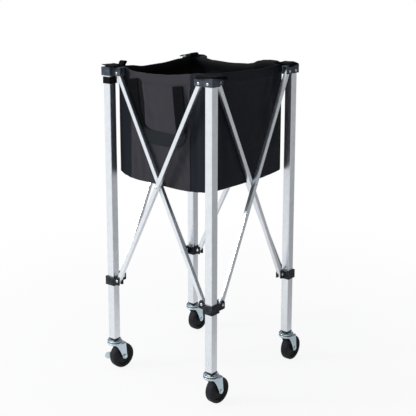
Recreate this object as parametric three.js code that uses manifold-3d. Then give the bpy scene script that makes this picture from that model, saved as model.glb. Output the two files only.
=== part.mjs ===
// A folding ball cart: four square legs on swivel casters, joined on each side by a pair of
// crossed braces, carry an open fabric bag that hangs from the tops of the legs.
// Millimetres, +Z up. The front, with one of the two bag handles, faces -Y.
import * as THREE from "three";
import { mergeVertices } from "three/addons/utils/BufferGeometryUtils.js";
import Module from "manifold-3d";

const wasm = await Module();
wasm.setup();

// Driving dimensions
const frame = {
  legSpacing: 373, // between the axes of two neighbouring legs, frame open
  height: 926, // top of the top brackets above the floor
  topPivotDrop: 16, // brace pivots below the top of the brackets
  sliderPivotHeight: 292, // brace pivots of the sliders above the floor, frame open
  pivotInset: 31.25, // from a leg's axis to the brace pivots beside it
};
const clearance = 0.3; // between pieces that fit into or rest on each other
const overrun = 5; // how far a cutting body runs past the face that it cuts
const weld = 0.00005; // points nearer to each other than this are one point

const legTube = { width: 25, wall: 1.6, cornerRadius: 2 };
const braceTube = { width: 12.5, wall: 1.3, cornerRadius: 1.2, overhang: 8, gap: 0.6 };
const housing = { wall: 4.2, edgeRadius: 1.5 }; // moulded round a leg: brackets and sliders
const clevis = { plate: 2.4, cornerRadius: 3 };
const bracket = { height: 24, roof: 4, earRoof: 3, earReach: 14.25, grooveWidth: 1.4, grooveDepth: 0.9 };
const slider = { height: 25, pivotAboveFoot: 19, earHalfWidth: 9, earRise: 6.5, earFoot: 6 };
const rivet = { radius: 2.5, headRadius: 4.2, headHeight: 1.6, rimHeight: 0.7 };
const plugPin = { headRadius: 2, headHeight: 0.6, aboveFoot: 25 };
const plug = { flange: 1.2, insert: 30, edgeRadius: 1.5 };
const wheel = {
  radius: 38.1, width: 21, treadHalfWidth: 6, shoulderDrop: 2.6, rimRadius: 28.5, webHalfWidth: 7,
  hubRadius: 9.5, rimEdge: 1.2,
};
const caster = {
  trail: 25.5, // the wheel's axle behind the swivel axis
  forkGap: 4.5, // between the tyre's side and the fork
  sheet: 2.5,
  crownGap: 4.3, // between the tyre and the fork's crown
  cupRadius: 22, cupHeight: 7.5, cupWall: 2.4, cupFloor: 5.5,
  raceRadius: 18, raceGap: 2.6, // the race seen between the cup's rim and the dome's
  domeHeight: 6.4, domeTopRadius: 13, domeRim: 2.2,
  neckRadius: 8.5, neckHeight: 3.2, stemRadius: 5, stemInPlug: 24,
  kingpinHeadRadius: 8, kingpinHeadHeight: 1.5,
  legLead: 10.5, legTrail: 5.2, tipRadius: 8.2,
  shoulder: 2, shoulderDrop: 5.3, // where the leg's front edge bends, behind the swivel axis
};
const axle = { radius: 4, headRadius: 5.5, headHeight: 1.2, boltRadius: 6.2, boltHeight: 3.6 };
const brake = {
  plate: 2, bossRadius: 8.5, reach: 48.5, tipHalfWidth: 12.5, riseDegrees: 3, padDepth: 5, padLength: 16,
};
const bag = {
  braceGap: 5.3, // between its sides and the inner braces
  cornerRadius: 10, wall: 1.8, floor: 1.8, floorHeight: 600, floorEdge: 4,
  footLift: 10, // of the lower edge at the corners, above its middle
  floorSag: 6, rimSag: 8.5, hem: 28, hemWall: 3.2, bulge: 2.4,
};
const handle = {
  width: 38, thickness: 1.6, topHalfSpan: 80, bottomHalfSpan: 70, shift: 20, drop: 186, bend: 30,
};
const tab = {
  thickness: 2, lobe: 19, lobeRadius: 14, cornerRadius: 4, loopHeight: 13, loopWidth: 17, loopLength: 20,
};
const tieStrap = { width: 18, thickness: 1.8, lapShare: 0.62 };

// How finely round forms are cut
const facets = { rivet: 8, wheel: 24, cup: 16, stem: 8, arc: 3, bagCorner: 3, bagSide: 10 };

// Which way the casters trail at rest, in degrees about +Z from +X
const casterHeadingDegrees = { front_right: 86, back_right: 90, back_left: 90, front_left: 81 };

const corners = ["front_right", "back_right", "back_left", "front_left"]; // a quarter turn apart
const sides = ["front", "right", "back", "left"];
const brakedCorner = "front_left";
const strappedCorner = "front_left";

// Finishes
const finish = (color, roughness, metalness) =>
  new THREE.MeshStandardMaterial({ color, roughness, metalness });
const materials = {
  aluminium: finish(0xd6d9de, 0.35, 0.9),
  zinc: finish(0xb9c3c9, 0.35, 0.9),
  blackPlastic: finish(0x1b1d20, 0.5, 0),
  rubber: finish(0x26272a, 0.75, 0),
  fabric: finish(0x1a1b1f, 0.85, 0),
  webbing: finish(0x141518, 0.9, 0),
};

// Places that follow from the sizes
const legHalf = legTube.width / 2;
const housingHalf = legHalf + clearance + housing.wall;
const boreHalf = legHalf + clearance;
const legAxis = frame.legSpacing / 2;
const topPivotHeight = frame.height - frame.topPivotDrop;
const bracketFoot = frame.height - bracket.height;
const sliderFoot = frame.sliderPivotHeight - slider.pivotAboveFoot;
const sliderTop = sliderFoot + slider.height;
const pivotReach = legAxis - frame.pivotInset; // from the middle of a side to its pivots
const pivotRise = topPivotHeight - frame.sliderPivotHeight;
const braceSpan = Math.hypot(2 * pivotReach, pivotRise); // pivot to pivot
const braceLean = Math.atan2(2 * pivotReach, pivotRise); // from upright, frame open
const pinHole = rivet.radius + 2 * clearance; // its flats lie nearer than its corners

// The two layers of braces, as distances outward from a leg's axis
const outerLayer = { near: housingHalf - clevis.plate - clearance };
outerLayer.far = outerLayer.near - braceTube.width;
const innerLayer = { near: outerLayer.far - braceTube.gap };
innerLayer.far = innerLayer.near - braceTube.width;

// The caster's stack, from the floor up
const axleHeight = wheel.radius;
const crownUnderside = 2 * wheel.radius + caster.crownGap;
const crownTop = crownUnderside + caster.sheet;
const cupRim = crownUnderside + caster.cupHeight;
const domeUnderside = cupRim + caster.raceGap;
const domeTop = domeUnderside + caster.domeHeight;
const neckTop = domeTop + caster.neckHeight;
const flangeFoot = neckTop + clearance;
const flangeTop = flangeFoot + plug.flange;
const legFoot = flangeTop + clearance;
const legTop = frame.height - bracket.roof - clearance;
const forkInner = wheel.width / 2 + caster.forkGap;
const forkOuter = forkInner + caster.sheet;

// Bag
const bagHalf = legAxis + innerLayer.far - bag.braceGap;
const rimHeight = frame.height - clearance; // at the corners
const rimMiddle = rimHeight - bag.rimSag;
const tabFoot = frame.height + clearance;

// From a three.js geometry to a solid that can be joined and cut, and back
function solid(geometry, matrix = new THREE.Matrix4()) {
  const g = geometry.index ? geometry.clone() : geometry;
  g.deleteAttribute("normal");
  g.deleteAttribute("uv");
  g.applyMatrix4(matrix);
  const merged = mergeVertices(g, weld);
  const triVerts = new Uint32Array(merged.index.array);
  if (matrix.determinant() < 0) {
    for (let i = 0; i < triVerts.length; i += 3) {
      [triVerts[i + 1], triVerts[i + 2]] = [triVerts[i + 2], triVerts[i + 1]];
    }
  }
  const mesh = { numProp: 3, vertProperties: merged.attributes.position.array, triVerts };
  return new wasm.Manifold(new wasm.Mesh(mesh));
}

function geometryOf(body) {
  const mesh = body.getMesh();
  const g = new THREE.BufferGeometry();
  g.setAttribute("position", new THREE.BufferAttribute(mesh.vertProperties, mesh.numProp));
  g.setIndex(new THREE.BufferAttribute(mesh.triVerts, 1));
  g.computeVertexNormals();
  return g;
}

const join = (first, ...others) => others.reduce((sum, next) => sum.add(next), first);
const cut = (first, ...others) => others.reduce((rest, next) => rest.subtract(next), first);

function block([x0, x1], [y0, y1], [z0, z1], matrix) {
  const g = new THREE.BoxGeometry(x1 - x0, y1 - y0, z1 - z0);
  g.translate((x0 + x1) / 2, (y0 + y1) / 2, (z0 + z1) / 2);
  return solid(g, matrix);
}

// A flat outline given a thickness, from z = low to z = high before the matrix
function plate(shape, [low, high], matrix, arcSteps = facets.arc) {
  const options = { depth: high - low, bevelEnabled: false, curveSegments: arcSteps };
  const g = new THREE.ExtrudeGeometry(shape, options);
  g.translate(0, 0, low);
  return solid(g, matrix);
}

// A profile of [radius, height] points turned about +Z
function turned(profile, steps, matrix) {
  const g = new THREE.LatheGeometry(profile.map(([r, z]) => new THREE.Vector2(r, z)), steps);
  g.rotateX(Math.PI / 2);
  return solid(g, matrix);
}

function cylinder(radius, [low, high], steps, matrix) {
  return turned([[0, low], [radius, low], [radius, high], [0, high]], steps, matrix);
}

// A rectangle with round corners, one radius for each corner from the lower left on
function roundedRectangle([x0, x1], [y0, y1], radii) {
  const [a, b, c, d] = Array.isArray(radii) ? radii : [radii, radii, radii, radii];
  const quarter = Math.PI / 2;
  const s = new THREE.Shape();
  s.moveTo(x0 + a, y0);
  s.lineTo(x1 - b, y0);
  if (b > 0) s.absarc(x1 - b, y0 + b, b, -quarter, 0);
  s.lineTo(x1, y1 - c);
  if (c > 0) s.absarc(x1 - c, y1 - c, c, 0, quarter);
  s.lineTo(x0 + d, y1);
  if (d > 0) s.absarc(x0 + d, y1 - d, d, quarter, 2 * quarter);
  s.lineTo(x0, y0 + a);
  if (a > 0) s.absarc(x0 + a, y0 + a, a, 2 * quarter, 3 * quarter);
  return s;
}

// Frames with axes (along, up, out): along runs from a leg towards its neighbour on a side,
// and out points away from the cart's middle.
const basis = (along, up, out) => new THREE.Matrix4().makeBasis(along, up, out);
const X = new THREE.Vector3(1, 0, 0);
const Y = new THREE.Vector3(0, 1, 0);
const Z = new THREE.Vector3(0, 0, 1);
const minus = (v) => v.clone().negate();
const leftOfCorner = basis(minus(X), Z, minus(Y)); // on the front side of the front right leg
const rightOfCorner = basis(Y, Z, X); // on the right side of the same leg

// A rivet along its own axis, with a head at each end of the span that it holds
function rivetProfile([low, high]) {
  const { radius, headRadius, headHeight, rimHeight } = rivet;
  const head = (face, way) => [
    [0, face + way * headHeight],
    [headRadius, face + way * rimHeight],
    [headRadius, face],
    [radius, face],
  ];
  return [...head(low, -1), ...head(high, 1).reverse()];
}

// The two plates of a clevis that holds a brace of one layer
function clevisPlates(layer, outline, matrix) {
  const nearFace = layer.near + clearance;
  const farFace = layer.far - clearance;
  return [
    plate(outline, [nearFace, nearFace + clevis.plate], matrix),
    plate(outline, [farFace - clevis.plate, farFace], matrix),
  ];
}

const clevisDepth = (layer) => [layer.far - clearance - clevis.plate, layer.near + clearance + clevis.plate];

// A hole for a brace's pin, right through a clevis
function pinBore(height, matrix) {
  const along = new THREE.Matrix4().makeTranslation(frame.pivotInset, height, 0);
  const span = [-housingHalf - overrun, housingHalf + overrun];
  return cylinder(pinHole, span, facets.rivet, matrix.clone().multiply(along));
}

// Housings

function housingBlock([low, high]) {
  const across = [-housingHalf, housingHalf];
  const outline = roundedRectangle(across, across, housing.edgeRadius);
  return plate(outline, [low, high], undefined, 2);
}

function bore([low, high]) {
  return block([-boreHalf, boreHalf], [-boreHalf, boreHalf], [low, high]);
}

function bracketEar(layer, matrix) {
  const root = housingHalf - housing.wall / 2;
  const end = frame.pivotInset + bracket.earReach;
  const outline = roundedRectangle([root, end], [bracketFoot, frame.height], [0, clevis.cornerRadius, 0, 0]);
  const roof = block([root, end], [frame.height - bracket.earRoof, frame.height], clevisDepth(layer), matrix);
  return cut(join(roof, ...clevisPlates(layer, outline, matrix)), pinBore(topPivotHeight, matrix));
}

function bracketBody() {
  const cap = cut(
    housingBlock([bracketFoot, frame.height]),
    bore([bracketFoot - overrun, frame.height - bracket.roof]),
  );
  const rivetHole = new THREE.Matrix4().makeTranslation(0, topPivotHeight, 0);
  const groove = block(
    [housingHalf, housingHalf + bracket.grooveWidth],
    [bracketFoot - overrun, frame.height + overrun],
    [housingHalf - bracket.grooveDepth, housingHalf + overrun],
    leftOfCorner,
  );
  return cut(
    join(cap, bracketEar(outerLayer, leftOfCorner), bracketEar(innerLayer, rightOfCorner)),
    cylinder(pinHole, [0, housingHalf + overrun], facets.rivet, leftOfCorner.clone().multiply(rivetHole)),
    groove,
  );
}

function sliderEar(layer, matrix) {
  const root = housingHalf - housing.wall / 2;
  const { earHalfWidth, earRise, earFoot } = slider;
  const [inner, outer] = [frame.pivotInset - earHalfWidth, frame.pivotInset + earHalfWidth];
  const foot = sliderFoot + earFoot;
  const crown = sliderTop + earRise - earHalfWidth;
  const s = new THREE.Shape();
  s.moveTo(root, foot);
  s.lineTo(outer - clevis.cornerRadius, foot);
  s.absarc(outer - clevis.cornerRadius, foot + clevis.cornerRadius, clevis.cornerRadius, -Math.PI / 2, 0);
  s.lineTo(outer, crown);
  s.absarc(frame.pivotInset, crown, earHalfWidth, 0, Math.PI);
  s.lineTo(inner, sliderTop);
  s.lineTo(root, sliderTop);
  return cut(join(...clevisPlates(layer, s, matrix)), pinBore(frame.sliderPivotHeight, matrix));
}

function sliderBody() {
  const collar = housingBlock([sliderFoot, sliderTop]);
  return cut(
    join(collar, sliderEar(innerLayer, leftOfCorner), sliderEar(outerLayer, rightOfCorner)),
    bore([sliderFoot - overrun, sliderTop + overrun]),
  );
}

// Legs and braces

function squareTube(width, wall, cornerRadius, [low, high]) {
  const half = width / 2;
  const inner = half - wall;
  const outline = roundedRectangle([-half, half], [-half, half], cornerRadius);
  outline.holes.push(roundedRectangle([-inner, inner], [-inner, inner], 0));
  return plate(outline, [low, high], undefined, 2);
}

function legBody() {
  const tube = squareTube(legTube.width, legTube.wall, legTube.cornerRadius, [legFoot, legTop]);
  const seat = housingHalf + clearance;
  const [, , , , ...head] = rivetProfile([legHalf, seat]);
  const bracketRivet = [[0, legHalf - legTube.wall], [rivet.radius, legHalf - legTube.wall], ...head];
  const atBracket = leftOfCorner.clone().multiply(new THREE.Matrix4().makeTranslation(0, topPivotHeight, 0));
  const pinPlace = new THREE.Matrix4().makeTranslation(0, legFoot + plugPin.aboveFoot, 0);
  const heads = [leftOfCorner, basis(X, Z, Y)].map((m) => {
    const span = [legHalf - legTube.wall / 2, legHalf + plugPin.headHeight];
    return cylinder(plugPin.headRadius, span, facets.rivet, m.clone().multiply(pinPlace));
  });
  return join(tube, turned(bracketRivet, facets.rivet, atBracket), ...heads);
}

// A brace standing upright about its middle, its pins along -Y
function braceBody(layer) {
  const half = braceSpan / 2;
  const end = half + braceTube.overhang;
  const middle = (layer.near + layer.far) / 2;
  const tube = squareTube(braceTube.width, braceTube.wall, braceTube.cornerRadius, [-end, end]);
  const across = basis(minus(X), Z, minus(Y));
  const grip = clevisDepth(layer).map((d) => d - middle);
  const pin = rivetProfile([grip[0] - clearance, grip[1] + clearance]);
  const at = (height) => across.clone().multiply(new THREE.Matrix4().makeTranslation(0, height, 0));
  const hole = cylinder(pinHole, [-braceTube.width, braceTube.width], facets.rivet, across);
  return join(cut(tube, hole), turned(pin, facets.rivet, at(half)), turned(pin, facets.rivet, at(-half)));
}

function centreRivetBody() {
  const middle = (outerLayer.near + innerLayer.far) / 2;
  const half = outerLayer.near - middle + clearance;
  return turned(rivetProfile([-half, half]), facets.rivet, basis(minus(X), Z, minus(Y)));
}

// Casters, each about its own swivel axis and trailing towards +Y

// The axle runs along X at the trail, so what turns on it is made about +Z and laid over
const onAxle = new THREE.Matrix4().makeTranslation(0, caster.trail, axleHeight).multiply(basis(Y, Z, X));

function plugBody() {
  const half = legHalf - legTube.wall - clearance;
  const flange = plate(
    roundedRectangle([-legHalf, legHalf], [-legHalf, legHalf], plug.edgeRadius),
    [flangeFoot, flangeTop], undefined, 2,
  );
  const insert = block([-half, half], [-half, half], [flangeFoot, flangeTop + plug.insert]);
  const hole = cylinder(
    caster.stemRadius + clearance,
    [flangeFoot - overrun, flangeTop + plug.insert + overrun],
    facets.cup,
  );
  return cut(join(flange, insert), hole);
}

// The stem, its neck and the domed upper race in one turned piece, riveted under the crown
function stemBody() {
  const c = caster;
  const headTop = crownUnderside - clearance;
  return turned(
    [
      [0, headTop - c.kingpinHeadHeight],
      [c.kingpinHeadRadius, headTop - c.kingpinHeadHeight],
      [c.kingpinHeadRadius, headTop],
      [c.stemRadius, headTop],
      [c.stemRadius, crownUnderside + c.cupFloor + clearance],
      [c.raceRadius, crownUnderside + c.cupFloor + clearance],
      [c.raceRadius, domeUnderside],
      [c.cupRadius, domeUnderside],
      [c.cupRadius, domeUnderside + c.domeRim],
      [(c.cupRadius + c.domeTopRadius) / 2, (domeUnderside + c.domeRim + 2 * domeTop) / 3],
      [c.domeTopRadius, domeTop],
      [c.neckRadius, domeTop],
      [c.neckRadius, neckTop],
      [c.stemRadius, neckTop],
      [c.stemRadius, flangeTop + c.stemInPlug],
      [0, flangeTop + c.stemInPlug],
    ],
    facets.cup,
  );
}

function forkBody() {
  const c = caster;
  const boreRadius = c.stemRadius + clearance;
  const rearEdge = c.trail + c.legTrail;
  const cup = turned(
    [
      [boreRadius, crownUnderside],
      [c.cupRadius - c.cupWall, crownUnderside],
      [c.cupRadius, crownTop],
      [c.cupRadius, cupRim],
      [c.cupRadius - c.cupWall, cupRim],
      [c.cupRadius - c.cupWall, crownUnderside + c.cupFloor],
      [boreRadius, crownUnderside + c.cupFloor],
      [boreRadius, crownUnderside],
    ],
    facets.cup,
  );
  const shelf = cut(
    plate(
      roundedRectangle([-forkOuter, forkOuter], [-c.legLead, rearEdge], [0, 0, c.sheet, c.sheet]),
      [crownUnderside, crownTop],
    ),
    cylinder(boreRadius, [crownUnderside - overrun, crownTop + overrun], facets.cup),
  );
  const side = new THREE.Shape();
  side.moveTo(-c.legLead, crownTop);
  side.lineTo(-c.legLead, crownUnderside);
  side.quadraticCurveTo(
    c.shoulder, crownUnderside - c.shoulderDrop,
    c.trail - c.tipRadius, axleHeight,
  );
  side.absarc(c.trail, axleHeight, c.tipRadius, Math.PI, 2 * Math.PI);
  side.lineTo(rearEdge, crownUnderside - 2 * c.sheet);
  side.lineTo(rearEdge, crownTop);
  const upright = basis(Y, Z, X);
  const sheets = [[forkInner, forkOuter], [-forkOuter, -forkInner]].map((span) => plate(side, span, upright));
  return cut(
    join(cup, shelf, ...sheets),
    cylinder(axle.radius + clearance, [-forkOuter - overrun, forkOuter + overrun], facets.stem, onAxle),
  );
}

function wheelBody() {
  const w = wheel;
  const boreRadius = axle.radius + clearance;
  const hubHalf = forkInner - clearance;
  const rimHalf = w.width / 2 - w.rimEdge;
  // Flats, not corners, lie at the tyre's radius, so that the wheel stands on a flat
  const outward = 1 / Math.cos(Math.PI / facets.wheel);
  const half = [
    [boreRadius, hubHalf],
    [w.hubRadius, hubHalf],
    [w.hubRadius, w.webHalfWidth],
    [w.rimRadius - w.rimEdge, w.webHalfWidth],
    [w.rimRadius, rimHalf],
    [w.radius - 2 * w.shoulderDrop, w.width / 2],
    [w.radius - w.shoulderDrop / 2, (w.treadHalfWidth + w.width / 2) / 2],
    [w.radius, w.treadHalfWidth],
  ].map(([r, a]) => [r * outward, a]);
  const other = half.map(([r, a]) => [r, -a]).reverse();
  const halfStep = new THREE.Matrix4().makeRotationZ(Math.PI / facets.wheel);
  return turned([...half, ...other, half[0]].reverse(), facets.wheel, onAxle.clone().multiply(halfStep));
}

// A plain caster's axle is a rivet; the braked one has a bolt that also holds the lever
function axleBody(braked) {
  const near = forkOuter + clearance;
  const far = braked ? near + brake.plate + clearance : near;
  const [radius, height, steps] = braked
    ? [axle.boltRadius, axle.boltHeight, 6]
    : [axle.headRadius, axle.headHeight, facets.stem];
  return join(
    cylinder(axle.radius, [-far - height, near + height], facets.stem, onAxle),
    cylinder(radius, [near, near + height], steps, onAxle),
    cylinder(radius, [-far - height, -far], steps, onAxle),
  );
}

// The pedal lies along the wheel's far side and points forward of the axle and a little up
function brakeLeverBody() {
  const b = brake;
  const s = new THREE.Shape();
  const tipCentre = -(b.reach - b.tipHalfWidth);
  s.moveTo(0, b.bossRadius);
  s.absarc(0, 0, b.bossRadius, Math.PI / 2, -Math.PI / 2, true);
  s.absarc(tipCentre, 0, b.tipHalfWidth, -Math.PI / 2, Math.PI / 2, true);
  const tilt = new THREE.Matrix4().makeRotationZ(-THREE.MathUtils.degToRad(b.riseDegrees));
  const place = onAxle.clone().multiply(tilt);
  const face = -(forkOuter + clearance);
  const arm = plate(s, [face - b.plate, face], place);
  const pad = block(
    [tipCentre - b.padLength / 2, tipCentre + b.padLength / 2],
    [b.tipHalfWidth - b.plate, b.tipHalfWidth],
    [face - b.padDepth, face],
    place,
  );
  const through = [face - b.plate - overrun, face + overrun];
  const hole = cylinder(axle.radius + clearance, through, facets.cup, onAxle);
  return cut(join(arm, pad), hole);
}

// Fabric

// A square outline with round corners and slightly bulged sides: [x, y, share], where share is
// 0 at a corner and 1 in the middle of a side
function bagOutline(halfWidth, radius, bulge) {
  const points = [];
  const straight = halfWidth - radius;
  for (let quarter = 0; quarter < 4; quarter++) {
    const turn = (quarter * Math.PI) / 2;
    const place = (x, y, share) => {
      const [c, s] = [Math.cos(turn), Math.sin(turn)];
      points.push([x * c - y * s, x * s + y * c, share]);
    };
    for (let i = 0; i < facets.bagSide; i++) {
      const along = (2 * i) / facets.bagSide - 1;
      const middle = Math.cos((along * Math.PI) / 2) ** 2;
      place(halfWidth + bulge * middle, along * straight, middle);
    }
    for (let i = 0; i < facets.bagCorner; i++) {
      const a = (i / facets.bagCorner) * (Math.PI / 2);
      place(straight + radius * Math.cos(a), straight + radius * Math.sin(a), 0);
    }
  }
  return points;
}

// Closed skin through rings of equal count, its first and last ring closed by a fan about a middle height
function loft(rings, middleHeights) {
  const count = rings[0].length;
  const positions = rings.flat(2);
  const triangles = [];
  for (let r = 0; r + 1 < rings.length; r++) {
    for (let i = 0; i < count; i++) {
      const [a, b] = [r * count + i, r * count + ((i + 1) % count)];
      triangles.push(a, b, b + count, a, b + count, a + count);
    }
  }
  const ends = [[0, true], [rings.length - 1, false]];
  ends.forEach(([r, flip], end) => {
    const centre = positions.length / 3;
    positions.push(0, 0, middleHeights[end]);
    for (let i = 0; i < count; i++) {
      const [a, b] = [r * count + i, r * count + ((i + 1) % count)];
      triangles.push(...(flip ? [b, a, centre] : [a, b, centre]));
    }
  });
  const g = new THREE.BufferGeometry();
  g.setAttribute("position", new THREE.Float32BufferAttribute(positions, 3));
  g.setIndex(triangles);
  return solid(g);
}

// The bag hangs by its corners: its lower edge and its rim rise there, and its sides and floor belly out
function bagBody() {
  const b = bag;
  const ring = (inset, height, belly) =>
    bagOutline(bagHalf - inset, b.cornerRadius - inset, b.bulge * belly)
      .map(([x, y, share]) => [x, y, height(share)]);
  const foot = (share) => b.floorHeight + b.footLift * (1 - share) ** 2;
  const above = (height, rise) => (share) => height(share) + rise;
  const rim = (share) => rimHeight - b.rimSag * share;
  const hemFoot = above(rim, -b.hem);
  const low = (share) => foot(share) + (hemFoot(share) - foot(share)) / 4;
  const high = (share) => foot(share) + ((hemFoot(share) - foot(share)) * 2) / 3;
  const edge = b.floorEdge;
  return loft(
    [
      ring(edge, foot, 0),
      ring(0, above(foot, edge), 1 / 4),
      ring(0, low, 3 / 4),
      ring(0, high, 1),
      ring(0, hemFoot, 1 / 2),
      ring(0, rim, 1 / 3),
      ring(b.hemWall, rim, 1 / 3),
      ring(b.hemWall, hemFoot, 1 / 2),
      ring(b.wall, hemFoot, 1 / 2),
      ring(b.wall, high, 1),
      ring(b.wall, low, 3 / 4),
      ring(b.wall, above(foot, edge + b.floor), 1 / 4),
      ring(edge + b.wall, above(foot, b.floor), 0),
    ],
    [b.floorHeight - b.floorSag, b.floorHeight - b.floorSag + b.floor],
  );
}

// A webbing loop that hangs flat on the bag's front, made for the front and turned for the back
function handleBody() {
  const h = handle;
  const top = rimMiddle - bag.hem;
  const foot = top - h.drop;
  const s = new THREE.Shape();
  const half = h.width / 2;
  const [outTop, outFoot] = [h.topHalfSpan + half, h.bottomHalfSpan + half];
  const [inTop, inFoot] = [h.topHalfSpan - half, h.bottomHalfSpan - half];
  s.moveTo(-outTop, top);
  s.lineTo(-outFoot, foot + h.bend);
  s.quadraticCurveTo(-outFoot, foot, -outFoot + h.bend, foot);
  s.lineTo(outFoot - h.bend, foot);
  s.quadraticCurveTo(outFoot, foot, outFoot, foot + h.bend);
  s.lineTo(outTop, top);
  s.lineTo(inTop, top);
  s.lineTo(inFoot, foot + h.width + h.bend / 2);
  s.quadraticCurveTo(inFoot, foot + h.width, inFoot - h.bend / 2, foot + h.width);
  s.lineTo(-inFoot + h.bend / 2, foot + h.width);
  s.quadraticCurveTo(-inFoot, foot + h.width, -inFoot, foot + h.width + h.bend / 2);
  s.lineTo(-inTop, top);
  const back = bagHalf + bag.bulge + clearance;
  const place = new THREE.Matrix4().makeTranslation(-h.shift, 0, 0).multiply(basis(X, Z, minus(Y)));
  return plate(s, [back, back + h.thickness], place);
}

// A fabric tab over a bracket, with a lobe over the bag's corner and a raised pull loop on it
function tabBody() {
  const t = tab;
  const end = housingHalf + t.lobe;
  const radii = [t.cornerRadius, t.lobeRadius, t.cornerRadius, t.cornerRadius];
  const cover = plate(
    roundedRectangle([-housingHalf, end], [-end, housingHalf], radii),
    [tabFoot, tabFoot + t.thickness],
    basis(minus(X), minus(Y), Z),
  );
  const top = tabFoot + t.thickness;
  const s = new THREE.Shape();
  const to = end - t.thickness;
  const from = to - t.loopLength;
  const rise = 2 * t.loopHeight;
  s.moveTo(from, tabFoot + t.thickness / 2);
  s.lineTo(from, top);
  s.quadraticCurveTo((from + to) / 2, top + rise, to, top);
  s.lineTo(to, tabFoot + t.thickness / 2);
  s.lineTo(to - t.thickness, tabFoot + t.thickness / 2);
  s.lineTo(to - t.thickness, top);
  s.quadraticCurveTo((from + to) / 2, top + rise - 2 * t.thickness, from + t.thickness, top);
  s.lineTo(from + t.thickness, tabFoot + t.thickness / 2);
  const middle = housingHalf + t.loopWidth / 2 - t.thickness / 2;
  const loop = plate(s, [-middle - t.loopWidth / 2, -middle + t.loopWidth / 2], leftOfCorner);
  return join(cover, loop);
}

// A hook-and-loop strap kept on one leg, with its free end lapped over
function tieStrapBody() {
  const top = bracketFoot - 2 * clearance;
  const foot = top - tieStrap.width;
  const inner = legHalf + clearance;
  const outer = inner + tieStrap.thickness;
  const ring = roundedRectangle([-outer, outer], [-outer, outer], legTube.cornerRadius);
  ring.holes.push(roundedRectangle([-inner, inner], [-inner, inner], 0));
  const lap = block(
    [-outer * tieStrap.lapShare, outer * tieStrap.lapShare],
    [outer - tieStrap.thickness / 2, outer + tieStrap.thickness],
    [foot, top],
  );
  return join(plate(ring, [foot, top], undefined, 2), lap);
}

// Assembly

const cart = new THREE.Group();

function addMesh(parent, name, body, material) {
  const mesh = new THREE.Mesh(body.isBufferGeometry ? body : geometryOf(body), material);
  mesh.name = name;
  parent.add(mesh);
  return mesh;
}

const shared = {
  leg: geometryOf(legBody()),
  bracket: geometryOf(bracketBody()),
  slider: geometryOf(sliderBody()),
  outerBrace: geometryOf(braceBody(outerLayer)),
  innerBrace: geometryOf(braceBody(innerLayer)),
  centreRivet: geometryOf(centreRivetBody()),
  plug: geometryOf(plugBody()),
  stem: geometryOf(stemBody()),
  fork: geometryOf(forkBody()),
  wheel: geometryOf(wheelBody()),
  axle: geometryOf(axleBody(false)),
  tab: geometryOf(tabBody()),
};

corners.forEach((corner, k) => {
  const turn = new THREE.Group();
  turn.rotation.z = (k * Math.PI) / 2;
  const atLeg = new THREE.Group();
  atLeg.position.set(legAxis, -legAxis, 0);
  turn.add(atLeg);
  cart.add(turn);
  addMesh(atLeg, `leg_${corner}`, shared.leg, materials.aluminium);
  addMesh(atLeg, `top_bracket_${corner}`, shared.bracket, materials.blackPlastic);
  addMesh(atLeg, `slider_${corner}`, shared.slider, materials.blackPlastic);
  addMesh(atLeg, `leg_plug_${corner}`, shared.plug, materials.blackPlastic);
  addMesh(atLeg, `corner_tab_${corner}`, shared.tab, materials.fabric);
  if (corner === strappedCorner) addMesh(atLeg, "tie_strap", tieStrapBody(), materials.webbing);

  const swivel = new THREE.Group();
  swivel.rotation.z = THREE.MathUtils.degToRad(casterHeadingDegrees[corner]) - Math.PI / 2 - turn.rotation.z;
  atLeg.add(swivel);
  const braked = corner === brakedCorner;
  addMesh(swivel, `caster_stem_${corner}`, shared.stem, materials.zinc);
  addMesh(swivel, `caster_fork_${corner}`, shared.fork, materials.zinc);
  addMesh(swivel, `wheel_${corner}`, shared.wheel, materials.rubber);
  addMesh(swivel, `axle_${corner}`, braked ? axleBody(true) : shared.axle, materials.zinc);
  if (braked) addMesh(swivel, "brake_lever", brakeLeverBody(), materials.zinc);
});

sides.forEach((side, k) => {
  const turn = new THREE.Group();
  turn.rotation.z = (k * Math.PI) / 2;
  cart.add(turn);
  const middleHeight = (topPivotHeight + frame.sliderPivotHeight) / 2;
  const onLayer = (depth) => {
    const place = new THREE.Group();
    place.position.set(0, -legAxis - depth, middleHeight);
    turn.add(place);
    return place;
  };
  const outer = onLayer((outerLayer.near + outerLayer.far) / 2);
  outer.rotation.y = braceLean;
  addMesh(outer, `brace_${side}_outer`, shared.outerBrace, materials.aluminium);
  const inner = onLayer((innerLayer.near + innerLayer.far) / 2);
  inner.rotation.y = -braceLean;
  addMesh(inner, `brace_${side}_inner`, shared.innerBrace, materials.aluminium);
  const crossing = onLayer((outerLayer.near + innerLayer.far) / 2);
  addMesh(crossing, `centre_rivet_${side}`, shared.centreRivet, materials.zinc);
});

addMesh(cart, "bag", bagBody(), materials.fabric);
const handleGeometry = geometryOf(handleBody());
addMesh(cart, "handle_front", handleGeometry, materials.webbing);
addMesh(cart, "handle_back", handleGeometry, materials.webbing).rotation.z = Math.PI;

// The origin is on the floor, in the middle of the ground that the cart covers
const extent = new THREE.Box3().setFromObject(cart, true);
const middle = extent.getCenter(new THREE.Vector3());
cart.position.set(-middle.x, -middle.y, -extent.min.z);

const ballCart = new THREE.Group();
ballCart.add(cart);

export default ballCart;
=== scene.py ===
"""Looks of a folding ball cart: square aluminium legs on swivel casters, crossed braces and a fabric bag.

Lengths below are millimetres in the cart's own frame (+Z up, the front faces -Y, the origin is on the floor
between the four legs) and turn into metres where a mesh is made.
"""
import math

import bpy
import numpy as np
from mathutils import Matrix, Vector


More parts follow.
